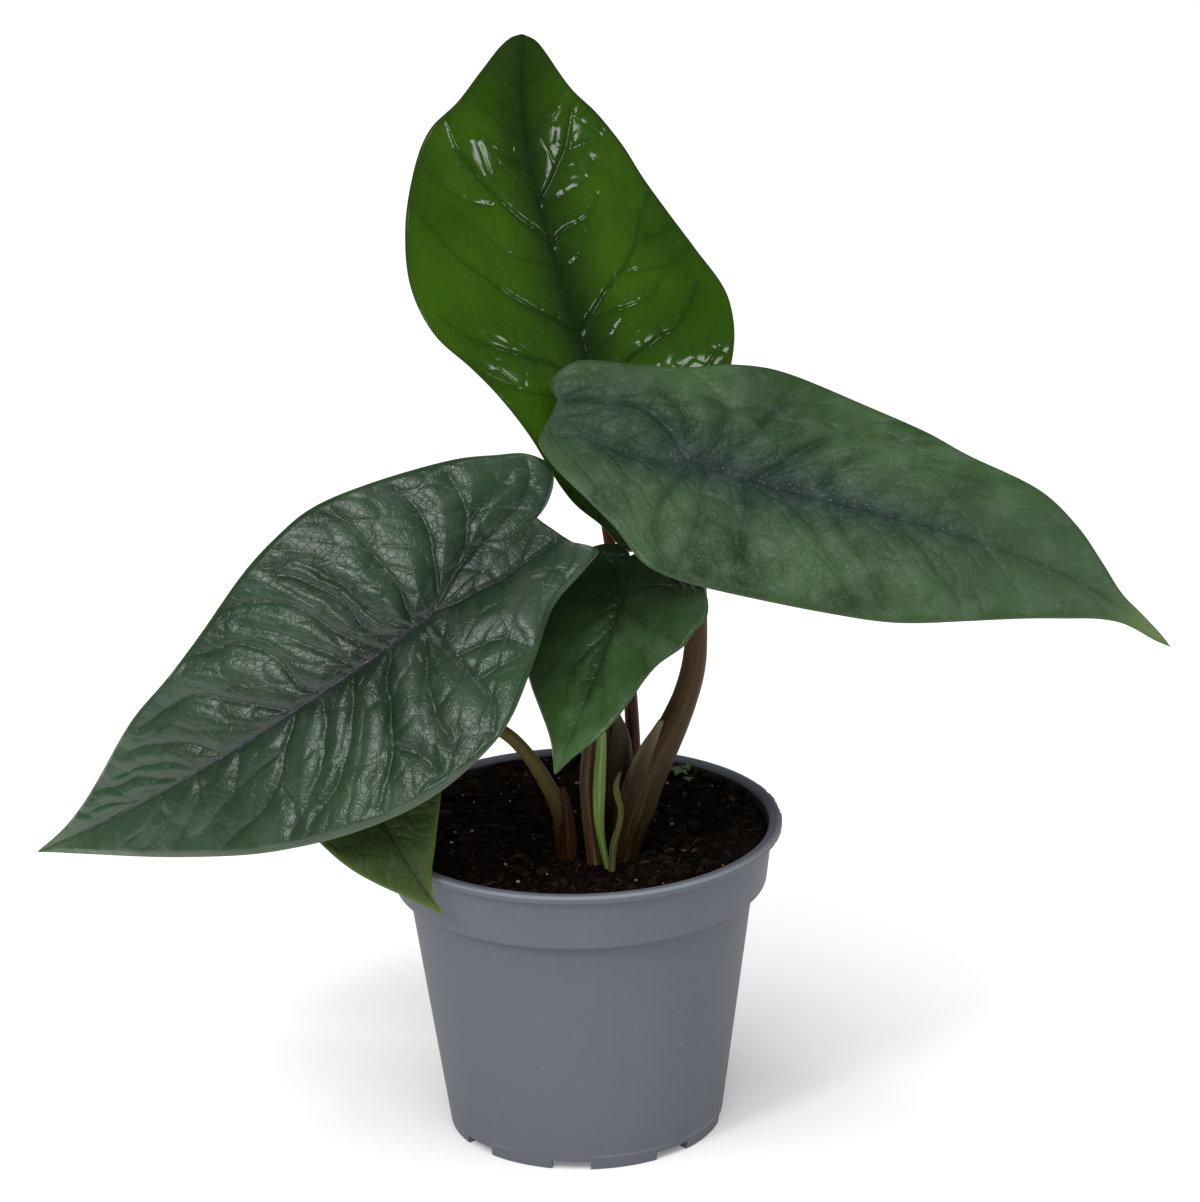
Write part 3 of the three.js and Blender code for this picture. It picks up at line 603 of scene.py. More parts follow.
def leaf_heights(leaf, half, side, t, v, flat, to_margin, r, form):
    """Heights of the top, side 1, or of the underside, side 0, of one half."""
    wide = np.broadcast_to(v, to_margin.shape)
    wave = leaf["wave"] * wide**3 * np.sin(2 * np.pi * MARGIN_WAVES * t[:, None] + 2.1 * half)
    ease = np.clip(np.minimum(t, 1 - t)[:, None] * 40, 0, 1)
    middle = (form["puff"] * (r["rise"] - MEAN_RISE) + wave) * ease
    if form["pleat"]:
        beside = to_margin / (1.001 - wide) * wide
        steep = bell(beside - PLEAT_INSET, PLEAT_SPREAD) * (flat[..., 1] > 5)
        shift = 5 * lattice(flat.reshape(-1, 2), 9, 6).reshape(wide.shape)
        pleats = np.sin(2 * np.pi * PLEATS * t[:, None] + shift)
        middle = middle + form["pleat"] * steep * pleats * (1 - r["vein"])
    rim = np.sqrt(np.clip(1 - np.clip((RIM_WIDTH - to_margin) / RIM_WIDTH, 0, 1) ** 2, 0.12, 1))
    if side:
        height = middle + BLADE / 2 * rim - form["groove"] * r["vein"]
        height = height - form["rib_groove"] * r["rib"] - SEAM_DEPTH * r["seam"]
    else:
        y, length = flat[..., 1], leaf["length"]
        drop = np.clip(np.where(y >= 0, 1 - 0.85 * y / length, 1 + 1.6 * y / length), 0.1, 1)
        keel = RIB_DEPTH * math.sqrt(length / RELIEF_LENGTH) * drop
        keel = keel * bell(flat[..., 0], 0.7 + 1.5 * drop)
        height = middle - BLADE / 2 * rim - UNDER_GROOVE * r["vein"] - keel * (wide < 0.5)
    return np.where((wide == 0) & (np.minimum(t, 1 - t)[:, None] == 0), 0, height)


def build_leaf(name, material, **form):
    leaf = LEAVES[name]
    surface = Surface(leaf)
    rows, share = (ROWS, 1.0) if leaf["length"] > LONG_LEAF else (ROWS // 2, 0.6)
    t = np.linspace(0, 1, rows + 1)
    across = {
        1: np.linspace(0, 1, int(COLUMNS * share) + 1) ** 1.08,
        0: np.linspace(0, 1, int(UNDER_COLUMNS * share) + 1) ** 1.1,
    }
    points, index, count, values = [], {}, 0, {}
    for half in (0, 1):
        for side in (1, 0):
            v = across[side]
            flat, to_margin = leaf_flat(leaf, half, t, v)
            f = flat.reshape(-1, 2)
            masks = relief(name, f, to_margin.ravel(), form["net_share"], form["stretch"])
            r = {k: q.reshape(to_margin.shape) for k, q in masks.items()}
            height = leaf_heights(leaf, half, side, t, v, flat, to_margin, r, form)
            ids = count + np.arange(height.size).reshape(height.shape)
            use = np.ones(height.size, bool)
            if half:
                ids[:, 0] = index[0, side][:, 0]
                use = (np.arange(height.size) % len(v)) > 0
                ids[:, 1:] = count + np.arange(use.sum()).reshape(len(t), -1)
            for end in (0, -1):
                ids[end] = index[0, 1][end, 0] if (half, side) != (0, 1) else ids[end, 0]
            index[half, side] = ids
            points.append(surface.place(f[use, 0], f[use, 1], height.ravel()[use]))
            masks.update(
                flat=np.column_stack([f, np.full(len(f), 40.0 * side)]),
                edge=np.exp(-to_margin.ravel() / RIM_WIDTH),
                topside=np.full(len(f), float(side)),
            )
            for key, column in masks.items():
                values.setdefault(key, []).append(column[use])
            count += use.sum()
    faces = []
    for (half, side), g in index.items():
        a, b, c, d = g[:-1, :-1], g[:-1, 1:], g[1:, :-1], g[1:, 1:]
        order = (a, c, d, b) if (half == 1) == (side == 1) else (a, b, d, c)
        faces.append(np.stack([q.ravel() for q in order], -1))
    for half in (0, 1):
        top, under = index[half, 1][:, -1], index[half, 0][:, -1]
        order = (top[:-1], top[1:], under[1:], under[:-1])
        faces.append(np.stack(order if half == 1 else order[::-1], -1))
    corners = [list(dict.fromkeys(f)) for f in np.vstack(faces).tolist()]
    corners = [f for f in corners if len(f) > 2]
    seen = np.zeros(count, bool)
    seen[np.concatenate(corners)] = True
    renumber = np.cumsum(seen) - 1
    used = [[int(renumber[i]) for i in f] for f in corners]
    data = {k: np.concatenate(part)[seen] for k, part in values.items()}
    return make_object("fine_leaf_" + name, np.concatenate(points)[seen], used, material, data), surface


FILM_COLOUR = (0.14, 0.18, 0.165)
SPECK_COLOUR = (0.34, 0.38, 0.36)
COAT_ROUGHNESS = 0.08
LEAF_BUMP = 0.00035


def leaf_material(
    name, low, high, vein, rib, under, edge, gloss, dust=0.0, shine=0.5, near_rib=0.5, seams=0.35,
    vein_share=0.7, rib_share=0.85, coat=0.0, painted_sheen=0.0, painted_sheen_colour=(0.16, 0.19, 0.17),
    grain=0.9, middle=0.0, tip=None, far=None, base_shadow=None, length=150.0,
):
    s = Shader(name)
    flat = s.attribute("flat", "Vector")
    veins, halo, ribs, rib_halo, rise, seam, margin, topside = (
        s.attribute(k) for k in ("vein", "halo", "rib", "ribhalo", "rise", "seam", "edge", "topside")
    )
    fine = s.noise(flat, 0.45, 5, 0.6)
    net = s.math("SUBTRACT", 1.0, s.ramp(s.edges(flat, 0.42), 0.0, 0.12))
    colour = s.coats(
        s.mix(s.ramp(s.noise(flat, 0.03, 3), 0.35, 0.65), low, high),
        (s.ramp(rise, 0.2, 0.95), 0.35, high),
        (s.ramp(fine, 0.4, 0.75), 0.3, high),
        (halo, 0.3, low),
        (rib_halo, near_rib, vein),
        (seam, seams, vein),
        (net, seams * 0.3, vein),
        (veins, vein_share, vein),
        (ribs, rib_share, rib),
    )
    # Painted sheen: a pale film on the raised panels stands in for the soft reflections on the leaf.
    if painted_sheen:
        dust_and_sheen = s.times(s.ramp(s.noise(flat, 0.09, 4), 0.42, 0.7), rise)
        colour = s.coats(colour, (dust_and_sheen, painted_sheen, painted_sheen_colour))
    ahead = s.part(flat, "Y")
    if middle:
        beside = s.math("ABSOLUTE", s.part(flat, "X"))
        colour = s.coats(colour, (s.ramp(beside, length * 0.16, length * 0.015), middle, vein))
    if far:
        colour = s.coats(colour, (s.ramp(ahead, length * 0.3, length * 0.85), 0.5, far))
    # Painted shadow: near its attachment the leaf is darkened where the leaf above shades it.
    if base_shadow:
        colour = s.coats(colour, (s.ramp(ahead, length * 0.4, -length * 0.1), 0.85, base_shadow))
    if tip:
        colour = s.coats(colour, (s.ramp(ahead, length * 0.82, length), 0.9, tip))
    if dust:
        by_rib = s.math("ADD", 0.35, s.times(rib_halo, 1.3))
        specks = s.times(s.ramp(s.noise(flat, 1.5, 2, 0.5), 0.66, 0.74), by_rib, clamp=True)
        dust_and_sheen = s.ramp(s.noise(flat, 0.12, 4), 0.45, 0.75)
        colour = s.coats(colour, (specks, dust, SPECK_COLOUR), (dust_and_sheen, dust * 0.25, FILM_COLOUR))
    colour = s.coats(s.mix(topside, under, colour), (margin, 0.7, edge))
    s.set(Base_Color=colour, Roughness=s.sum_of(fine, 0.14, gloss), Specular_IOR_Level=shine)
    if coat:
        s.set(Coat_Weight=coat, Coat_Roughness=COAT_ROUGHNESS)
    height = s.sum_of(net, -0.25, s.times(seam, -0.5))
    height = s.sum_of(veins, -0.9, height)
    height = s.sum_of(fine, 0.3, height)
    height = s.sum_of(s.noise(flat, 2.5, 3, 0.6), 0.12, height)
    s.bump(height, LEAF_BUMP, grain)
    return s.material


# Stalks, sheaths and the two small shoots. Each point of the middle line has x, y, z, half the
# width and half the depth there.
STALKS = {
    "top": path("""
    15.5,-6.5,70,2.6,2.6 15.5,-6.5,90,2.6,2.6 16.2,-5,118,2.3,2.3 15,-1,146,2,2 11.5,7,172,1.8,1.8
    8.5,17,195,1.7,1.7 8.8,25,209,1.6,1.6 9.3,28.4,216,1.5,1.5
    """),
    "right": path("""
    12.2,-18,70,3.4,3 13,-18.3,90,3.6,3.1 15,-18.5,99,4.3,3.3 17.6,-18.5,106.5,5,3.4
    20.2,-18.3,115,5.2,3.4 23.8,-17.8,122.5,4.5,3.4 28,-17.2,131,3.8,3.2 31.6,-16.5,139.5,3.5,3
    34,-15.8,148,3.1,2.9 35,-15,157,2.9,2.8 35.4,-13,176,2.7,2.5 35,-10,196,2.5,2.4 34.8,-8,210,2.2,2.2
    """),
    "left": path("""
    7.6,-10,70,3.2,3 7.8,-10,90,3.4,3.1 9.3,-10.5,110,3.7,3.1 8.8,-9,125,3.2,2.8 3.5,-7,139,2.6,2.5
    -6,-4,150.5,2.4,2.3 -18,-6.5,159,2.2,2.2 -31,-18.5,167,2,2 -42,-30,171.5,1.8,1.8
    """),
    "centre": path("""
    4.6,-20.5,70,2.4,2.4 4.2,-20.5,90,2.4,2.4 2.7,-20,106,2.3,2.3 2.5,-19.5,116,2.2,2.2 4,-18.5,128,2,2
    7,-18,143,1.8,1.8 10.8,-17.8,157,1.6,1.6 13.7,-19,171.5,1.4,1.4
    """),
    "low": path("""
    -2.4,-15.3,68,2.8,2.8 -4,-15.6,89,3.2,3 -5.6,-17,104,3.1,2.8 -9.6,-18.4,114.5,2.6,2.3
    -15,-19.5,124,2.2,2.1 -21,-21,131,2,2 -31,-20,135.5,1.9,1.9 -42,-17.5,134,1.7,1.7
    -52,-17,129,1.5,1.5 -59,-22,124.5,1.4,1.4 -62.5,-29.5,122.6,1.2,1.2
    """),
}
SHEATHS = {
    "right": path("""
    12.4,-19.2,86,2.6,1.6 14,-20,98,3.4,1.8 16.6,-20.2,108,4.2,1.7 18.4,-20.2,116,5,1.6
    20.6,-19.8,123,4.7,1.5 23,-19.2,128.5,3.9,1.3 24.2,-18.8,131.6,2.7,1.1 24.8,-18.6,133,1,0.7
    """),
    "left": path("""
    8.5,-11.5,86,2.2,1.5 10.2,-12.2,100,3.2,1.6 11.6,-12.3,112,4,1.5 12.4,-12.3,121,4.2,1.3
    12.4,-12,127,3.1,1.1 11.2,-11.6,134,0.7,0.6
    """),
    "low": path("""
    -3.4,-16.6,86,2.6,1.4 -3.6,-17.8,96,2.8,1.5 -4,-18.4,106,2.3,1.3 -4.6,-18.8,113,0.6,0.6
    """),
}
# Side of a stalk on which its sheath ends in a pale margin: -1 left, 1 right.
EAR_SIDE = {"right": -1, "left": 1, "low": 1}
SPEAR = path("""
    8.4,-23.2,74,0.9,0.8 8,-23.4,88,0.9,0.8 6.8,-23.5,95,0.9,0.8 6,-23.4,101,1.1,0.9
    5.8,-23.2,108,1.6,1.3 6.1,-23,116,1.9,1.5 6.7,-22.4,124,1.7,1.4 7.1,-21.8,131,1.4,1.1
    7.2,-21.4,137,0.5,0.5
""")
SCALE_LEAF = path("""
    9.4,-25.6,78,0.9,0.5 9.2,-26.2,90,1,0.5 10,-26.5,98,1,0.5 11.6,-26.6,103.5,1.1,0.5
    12.2,-26.6,108.5,0.9,0.5 11.4,-26.6,112,0.8,0.5 10.9,-26.4,116,1,0.5 12.2,-26,120,0.4,0.4
""")
RIDGES = 9
BLADE_REACH = 14
BLADE_GAP = 1.5


def tube(rows, sides=28, steps=90, ridge=0.0, below=None):
    """Points, faces and lengthwise values of a stalk, kept below the face of its blade."""
    rows = np.array(rows, float)
    line = smooth_path(rows[:, :3], steps)
    share = np.linspace(0, 1, steps + 1)
    ahead = np.gradient(line, axis=0)
    ahead /= np.linalg.norm(ahead, axis=1, keepdims=True)
    across = np.array([1.0, 0, 0]) - ahead * ahead[:, :1]
    across /= np.linalg.norm(across, axis=1, keepdims=True)
    deep = np.cross(ahead, across)
    turn = np.linspace(0, 2 * np.pi, sides, endpoint=False)
    knots = np.linspace(0, 1, len(rows))
    wide, thick = (np.interp(share, knots, rows[:, i])[:, None] for i in (3, 4))
    swell = 1 + ridge * np.cos(RIDGES * turn)[None]
    points = line[:, None] + across[:, None] * (wide * np.cos(turn) * swell)[..., None]
    points = points + deep[:, None] * (thick * np.sin(turn) * swell)[..., None]
    if below is not None:
        spot, normal, side, slope = below
        rel = points - spot
        close = np.linalg.norm(rel, axis=-1) < BLADE_REACH
        height = rel @ normal
        limit = -BLADE_GAP + slope * np.abs(rel @ side)
        lower = np.where(close & (height > limit), limit - height, 0.0)
        points = points + normal * lower[..., None]
    length = np.cumsum(np.concatenate([[0], np.linalg.norm(np.diff(line, axis=0), axis=1)]))
    values = (np.cos(turn) * 3, np.sin(turn) * 3, length[:, None])
    ring = np.stack([np.broadcast_to(v, points.shape[:2]) for v in values], -1)
    grid = np.arange((steps + 1) * sides).reshape(steps + 1, sides)
    faces = [*ring_faces(grid).tolist(), grid[0][::-1].tolist(), grid[-1].tolist()]
    return points.reshape(-1, 3), faces, ring.reshape(-1, 3)


def stalk_material(name, low, high, stripe, gloss=0.38, pale_top=None, reach=60.0, ear=None):
    s = Shader(name)
    ring = s.attribute("ring", "Vector")
    streak = s.noise(s.stretched(ring, 1, 1, 0.035), 1.1, 5, 0.6)
    broad = s.noise(s.stretched(ring, 0.3, 0.3, 0.06), 1.0, 2)
    flecks = s.ramp(s.noise(s.stretched(ring, 1, 1, 0.35), 2.2, 3, 0.5), 0.6, 0.72)
    colour = s.coats(
        s.mix(s.ramp(broad, 0.3, 0.7), low, high),
        (s.ramp(streak, 0.45, 0.66), 0.75, stripe), (flecks, 0.3, stripe),
    )
    if pale_top:
        colour = s.mix(s.ramp(s.part(ring, "Z"), reach * 0.4, reach), colour, pale_top)
    if ear:
        colour = s.coats(colour, (s.attribute("ear"), 0.8, ear))
    s.set(Base_Color=colour, Roughness=s.sum_of(streak, 0.2, gloss), Specular_IOR_Level=0.16)
    s.bump(streak, 0.0004, 0.6)
    return s.material


# Pot
POT_HEIGHT = 95.0
LIP_RADIUS = 60.0
LIP_FOOT_Z = POT_HEIGHT - 2.1
BAND_TOP_RADIUS = 57.2
BAND_TOP_Z = POT_HEIGHT - 2.4
BAND_FOOT_RADIUS = 55.2
BAND_FOOT_Z = 77.0
BODY_TOP_RADIUS = 51.5
BODY_FOOT_RADIUS = 41.4
BODY_FOOT_Z = 4.4
FOOT_RADIUS = 40.8
FOOT_WIDTH = 3
WALL = 1.3
FLOOR_UNDER_Z = 2.6
FLOOR_TOP_Z = 4.4
CORNER = 0.45
POT_SIDES = 384
FOOT_GAPS = 8
FOOT_GAP_WIDTH = 11.5
FOOT_GAP_TURN = -96.6
DRAIN_RADIUS = 3.4
DRAIN_CIRCLE_RADIUS = 27.0
CUTTER = 12
BASE_DISC_RADIUS = 11.0
BASE_DISC_HEIGHT = FLOOR_UNDER_Z + 0.6
SHARP_DEGREES = 38
# The lip is worn most near this direction
WEAR_DEGREES = 7
WEAR_SPREAD = 11
WEAR_GRAIN = 2.6


def lathe(name, profile, sides, material):
    """A closed turned body. The profile starts and ends on the axis."""
    turn = np.linspace(0, 2 * np.pi, sides, endpoint=False)
    ring = np.array(profile[1:-1], float)
    heights = np.broadcast_to(ring[:, 1:], (len(ring), sides))
    points = np.stack([ring[:, :1] * np.cos(turn), ring[:, :1] * np.sin(turn), heights], -1)
    points = np.vstack([points.reshape(-1, 3), [[0, 0, profile[0][1]], [0, 0, profile[-1][1]]]])
    grid = np.arange(len(ring) * sides).reshape(len(ring), sides)
    first, last = len(points) - 2, len(points) - 1
    faces = ring_faces(grid).tolist()
    faces += [[middle, b, a] for middle, a, b in cap_faces(grid[0], first)]
    faces += cap_faces(grid[-1], last)
    return make_object(name, points, faces, material)


def rounded(corners, radius, steps=3):
    """A profile with each inner corner eased by a short arc."""
    corners = np.array(corners, float)
    out = [corners[0]]
    for a, b, c in zip(corners[:-2], corners[1:-1], corners[2:]):
        back, on = a - b, c - b
        cut = min(radius, 0.45 * np.linalg.norm(back), 0.45 * np.linalg.norm(on))
        start, end = b + back / np.linalg.norm(back) * cut, b + on / np.linalg.norm(on) * cut
        for k in range(steps + 1):
            t = k / steps
            out.append((1 - t) ** 2 * start + 2 * t * (1 - t) * b + t * t * end)
    out.append(corners[-1])
    return out


def inside_radius(z):
    """Radius of the pot's inner wall at a height."""
    if z >= BAND_FOOT_Z:
        t = (z - BAND_FOOT_Z) / (POT_HEIGHT - BAND_FOOT_Z)
        return BAND_FOOT_RADIUS + (BAND_TOP_RADIUS - BAND_FOOT_RADIUS) * t - WALL
    t = (z - BODY_FOOT_Z) / (BAND_FOOT_Z - BODY_FOOT_Z)
    return BODY_FOOT_RADIUS + (BODY_TOP_RADIUS - BODY_FOOT_RADIUS) * t - WALL


def wall_points(z0, r0, z1, r1, count):
    """Points between two corners of the profile, without the corners."""
    return [(r0 + (r1 - r0) * k / count, z0 + (z1 - z0) * k / count) for k in range(1, count)]


def wear_lip(pot):
    for vertex in pot.data.vertices:
        x, y, z = (c / MM for c in vertex.co)
        r = math.hypot(x, y)
        if r > LIP_RADIUS - 2 and z > POT_HEIGHT - 4:
            turn = math.degrees(math.atan2(y, x))
            bite = 0.12 + 1.1 * math.exp(-(((turn - WEAR_DEGREES) / WEAR_SPREAD) ** 2))
            r_new = r - bite * max(0.0, noise.noise(Vector((x, y, 0)) / WEAR_GRAIN) + 0.1)
            vertex.co.x, vertex.co.y = x * r_new / r * MM, y * r_new / r * MM


def apply_tools(pot, kind, tools):
    """Cut the tools from the pot or add them to it."""
    if len(tools) > 1:
        with bpy.context.temp_override(
            active_object=tools[0], selected_editable_objects=tools, selected_objects=tools
        ):
            bpy.ops.object.join()
    change = pot.modifiers.new("shape", "BOOLEAN")
    change.operation = kind
    change.solver = "EXACT"
    change.use_self = kind == "DIFFERENCE"
    change.object = tools[0]
    bpy.context.view_layer.update()
    shaped = pot.evaluated_get(bpy.context.evaluated_depsgraph_get())
    mesh = bpy.data.meshes.new_from_object(shaped)
    pot.modifiers.clear()
    pot.data = mesh
    bpy.data.objects.remove(tools[0])


def cylinder(sides, radius, depth, place):
    bpy.ops.mesh.primitive_cylinder_add(vertices=sides, radius=radius * MM, depth=depth * MM)
    item = bpy.context.object
    item.matrix_world = Matrix.Translation(tuple(c * MM for c in place))
    return item


def build_pot(material):
    shelf = BAND_FOOT_Z - WALL
    inner_foot = FOOT_RADIUS - FOOT_WIDTH
    inner_lip = BAND_TOP_RADIUS - WALL
    corners = [
        (0, FLOOR_UNDER_Z), (inner_foot, FLOOR_UNDER_Z), (inner_foot, 0), (FOOT_RADIUS, 0),
        *wall_points(BODY_FOOT_Z, BODY_FOOT_RADIUS, BAND_FOOT_Z, BODY_TOP_RADIUS, 5),
        (BODY_TOP_RADIUS, BAND_FOOT_Z), (BAND_FOOT_RADIUS, BAND_FOOT_Z), (BAND_TOP_RADIUS, BAND_TOP_Z),
        (LIP_RADIUS, LIP_FOOT_Z), (LIP_RADIUS, POT_HEIGHT - 0.2), (LIP_RADIUS - 0.5, POT_HEIGHT),
        (inner_lip + 0.9, POT_HEIGHT), (inner_lip, POT_HEIGHT - 1.2),
        (inside_radius(BAND_FOOT_Z), BAND_FOOT_Z + 0.2), (inside_radius(shelf - 0.3), shelf - 0.3),
        (inside_radius(FLOOR_TOP_Z + 1.5), FLOOR_TOP_Z + 1.5),
        (inside_radius(FLOOR_TOP_Z) - 1.5, FLOOR_TOP_Z), (0, FLOOR_TOP_Z),
    ]
    pot = lathe("fine_pot", rounded(corners, CORNER), POT_SIDES, material)
    wear_lip(pot)
    cutters = []
    for i in range(FOOT_GAPS):
        turn = math.radians(FOOT_GAP_TURN + 360 / FOOT_GAPS * i)
        bpy.ops.mesh.primitive_cube_add(size=1)
        box = bpy.context.object
        box.matrix_world = (
            Matrix.Rotation(turn, 4, "Z") @ Matrix.Translation((FOOT_RADIUS * MM, 0, 0))
            @ Matrix.Diagonal((CUTTER * MM, FOOT_GAP_WIDTH * MM, 2 * FLOOR_UNDER_Z * MM, 1))
        )
        cutters.append(box)
        x, y = DRAIN_CIRCLE_RADIUS * math.cos(turn), DRAIN_CIRCLE_RADIUS * math.sin(turn)
        cutters.append(cylinder(32, DRAIN_RADIUS, CUTTER, (x, y, FLOOR_TOP_Z)))
    disc = cylinder(64, BASE_DISC_RADIUS, BASE_DISC_HEIGHT, (0, 0, BASE_DISC_HEIGHT / 2))
    apply_tools(pot, "DIFFERENCE", cutters)
    apply_tools(pot, "UNION", [disc])
    mesh = pot.data
    mesh.polygons.foreach_set("use_smooth", [True] * len(mesh.polygons))
    mesh.materials.clear()
    mesh.materials.append(material)
    mesh.set_sharp_from_angle(angle=math.radians(SHARP_DEGREES))
    return pot


def pot_material():
    s = Shader("pot_plastic")
    at = s.position()
    broad = s.noise(at, 12, 3)
    grain = s.noise(at, 900, 3, 0.6)
    flow = s.noise(s.stretched(at, 60, 60, 6), 1.0, 4, 0.6)
    scuff = s.ramp(s.noise(s.stretched(at, 1, 1, 4), 70, 6, 0.7), 0.66, 0.74)
    speck = s.ramp(s.noise(at, 900, 1, 0.3), 0.775, 0.80)
    height = s.part(at, "Z")
    from_line = s.math("ABSOLUTE", s.math("SUBTRACT", height, 0.0043))
    parting_line = s.math("SUBTRACT", 1.0, s.ramp(from_line, 0.0002, 0.0006))
    worn = s.ramp(s.noise(at, 28, 2), 0.45, 0.6)
    out = s.node("ShaderNodeVectorMath", "Value", {0: s.stretched(at, 1, 1, 0)}, operation="LENGTH")
    # Painted highlight: a paler line round the outer top edge of the lip.
    lip_highlight = s.times(s.ramp(height, 0.0940, 0.0946), s.ramp(out, 0.0582, 0.0594))
    # Painted shade: the inner wall from the band foot up to just below the lip is made nearly black, for
    # the shade inside the pot above the peat.
    wall = s.sum_of(s.math("SUBTRACT", height, 0.077), 2.0 / 18.0, (BAND_FOOT_RADIUS - WALL + 0.35) * MM)
    level = s.times(s.ramp(height, 0.0948, 0.0938), s.ramp(height, 0.0775, 0.0785))
    inner_wall_shade = s.times(s.math("LESS_THAN", out, wall), level)
    colour = s.coats(
        s.mix(broad, (0.098, 0.106, 0.130), (0.107, 0.116, 0.141)),
        (s.ramp(flow, 0.5, 0.75), 0.25, (0.122, 0.130, 0.155)),
        (scuff, 0.18, (0.17, 0.18, 0.19)),
        (speck, 0.5, (0.30, 0.29, 0.26)),
        (s.times(parting_line, worn), 0.5, (0.24, 0.25, 0.26)),
        (lip_highlight, 0.7, (0.24, 0.255, 0.29)),
        (inner_wall_shade, 0.85, (0.010, 0.009, 0.009)),
    )
    s.set(Base_Color=colour, Roughness=s.sum_of(broad, 0.12, 0.5), Specular_IOR_Level=0.35)
    s.bump(s.sum_of(grain, 0.3, flow), 0.0001, 0.5)
    return s.material


# Peat
SOIL_Z = 89.0
SOIL_SLOPE = 0.03
SOIL_DISH = 3.4
SOIL_DISH_RADIUS = 55
SOIL_SIDES = 288
SOIL_RINGS = 92
COLLAR_PLACE = (8, -14)
COLLAR_RADIUS = 14
SOIL_REACH = 54.5


def soil_height(x, y):
    p = Vector((x, y, 0))
    lumps = 1.6 * noise.noise(p / 16) + 0.9 * noise.noise(p / 6 + Vector((5, 2, 0)))
    lumps += 0.5 * noise.noise(p / 2.4)
    from_collar = math.hypot(x - COLLAR_PLACE[0], y - COLLAR_PLACE[1])
    collar = 1.2 * math.exp(-((from_collar / COLLAR_RADIUS) ** 2))
    dish = SOIL_DISH * (math.hypot(x, y) / SOIL_DISH_RADIUS) ** 2.5
    return SOIL_Z + SOIL_SLOPE * y + dish + lumps + 0.35 * noise.noise(p * 1.1) + collar


def build_soil(material):
    edge = inside_radius(SOIL_Z + 2) - 0.25
    turn = np.linspace(0, 2 * np.pi, SOIL_SIDES, endpoint=False)
    points = [(0, 0, soil_height(0, 0))]
    for k in range(1, SOIL_RINGS + 1):
        r = edge * (k / SOIL_RINGS) ** 0.85
        drop = 0.8 * max(0.0, (r - edge + 3) / 3) ** 2
        for a in turn:
            x, y = r * math.cos(a), r * math.sin(a)
            points.append((x, y, soil_height(x, y) - drop))
    low = [
        (inside_radius(BAND_FOOT_Z + 0.2) - 0.3, BAND_FOOT_Z + 0.8),
        (inside_radius(BAND_FOOT_Z - 2.4) - 0.3, BAND_FOOT_Z - 1.6),
        (inside_radius(FLOOR_TOP_Z + 2) - 0.3, FLOOR_TOP_Z + 2.2),
        (inside_radius(FLOOR_TOP_Z) - 1.9, FLOOR_TOP_Z + 0.5),
    ]
    for r, z in low:
        points += [(r * math.cos(a), r * math.sin(a), z) for a in turn]
    points.append((0, 0, FLOOR_TOP_Z + 0.5))
    grid = 1 + np.arange((SOIL_RINGS + len(low)) * SOIL_SIDES).reshape(-1, SOIL_SIDES)
    faces = ring_faces(grid)[:, [0, 3, 2, 1]].tolist() + cap_faces(grid[0], 0)
    faces += [[middle, b, a] for middle, a, b in cap_faces(grid[-1], len(points) - 1)]
    return make_object("fine_soil", points, faces, material)


GOLDEN = (1 + 5**0.5) / 2
BALL_POINTS = [
    (-1, GOLDEN, 0), (1, GOLDEN, 0), (-1, -GOLDEN, 0), (1, -GOLDEN, 0),
    (0, -1, GOLDEN), (0, 1, GOLDEN), (0, -1, -GOLDEN), (0, 1, -GOLDEN),
    (GOLDEN, 0, -1), (GOLDEN, 0, 1), (-GOLDEN, 0, -1), (-GOLDEN, 0, 1),
]
BALL_FACES = [
    (0, 11, 5), (0, 5, 1), (0, 1, 7), (0, 7, 10), (0, 10, 11), (1, 5, 9), (5, 11, 4), (11, 10, 2),
    (10, 7, 6), (7, 1, 8), (3, 9, 4), (3, 4, 2), (3, 2, 6), (3, 6, 8), (3, 8, 9), (4, 9, 5),
    (2, 4, 11), (6, 2, 10), (8, 6, 7), (9, 8, 1),
]


def ball(turns, size, squash, draw):
    """A rough crumb of twenty faces."""
    base = np.array(BALL_POINTS)
    base = base / np.linalg.norm(base[0])
    base = base * (1 + 0.35 * (draw.random((len(base), 1)) - 0.5))
    base = base * np.array(squash)
    turn = np.array(Matrix.Rotation(turns[0], 3, "Z") @ Matrix.Rotation(turns[1], 3, "X"))
    return base @ turn.T * size


def soil_spot(draw, reach=SOIL_REACH):
    while True:
        x, y = draw.uniform(-reach, reach, 2)
        if math.hypot(x, y) < reach:
            return x, y


def scatter(name, count, sizes, stretch, material, seed):
    """Crumbs at random on the peat, most of them small."""
    draw = np.random.default_rng(seed)
    points, faces, tones = [], [], []
    for i in range(count):
        x, y = soil_spot(draw)
        size = sizes[0] + (sizes[1] - sizes[0]) * draw.random() ** 2.5
        shape = (1 + (stretch - 1) * draw.random(), 1, 0.6 + 0.4 * draw.random())
        crumb = ball((draw.uniform(0, 6.28), draw.uniform(-0.7, 0.7)), size, shape, draw)
        points.append(crumb + np.array([x, y, soil_height(x, y) + 0.2 * size]))
        faces += [[k + len(crumb) * i for k in f] for f in BALL_FACES]
        tones += [draw.random()] * len(crumb)
    return make_object(name, np.concatenate(points), faces, material, {"tone": tones}, False)


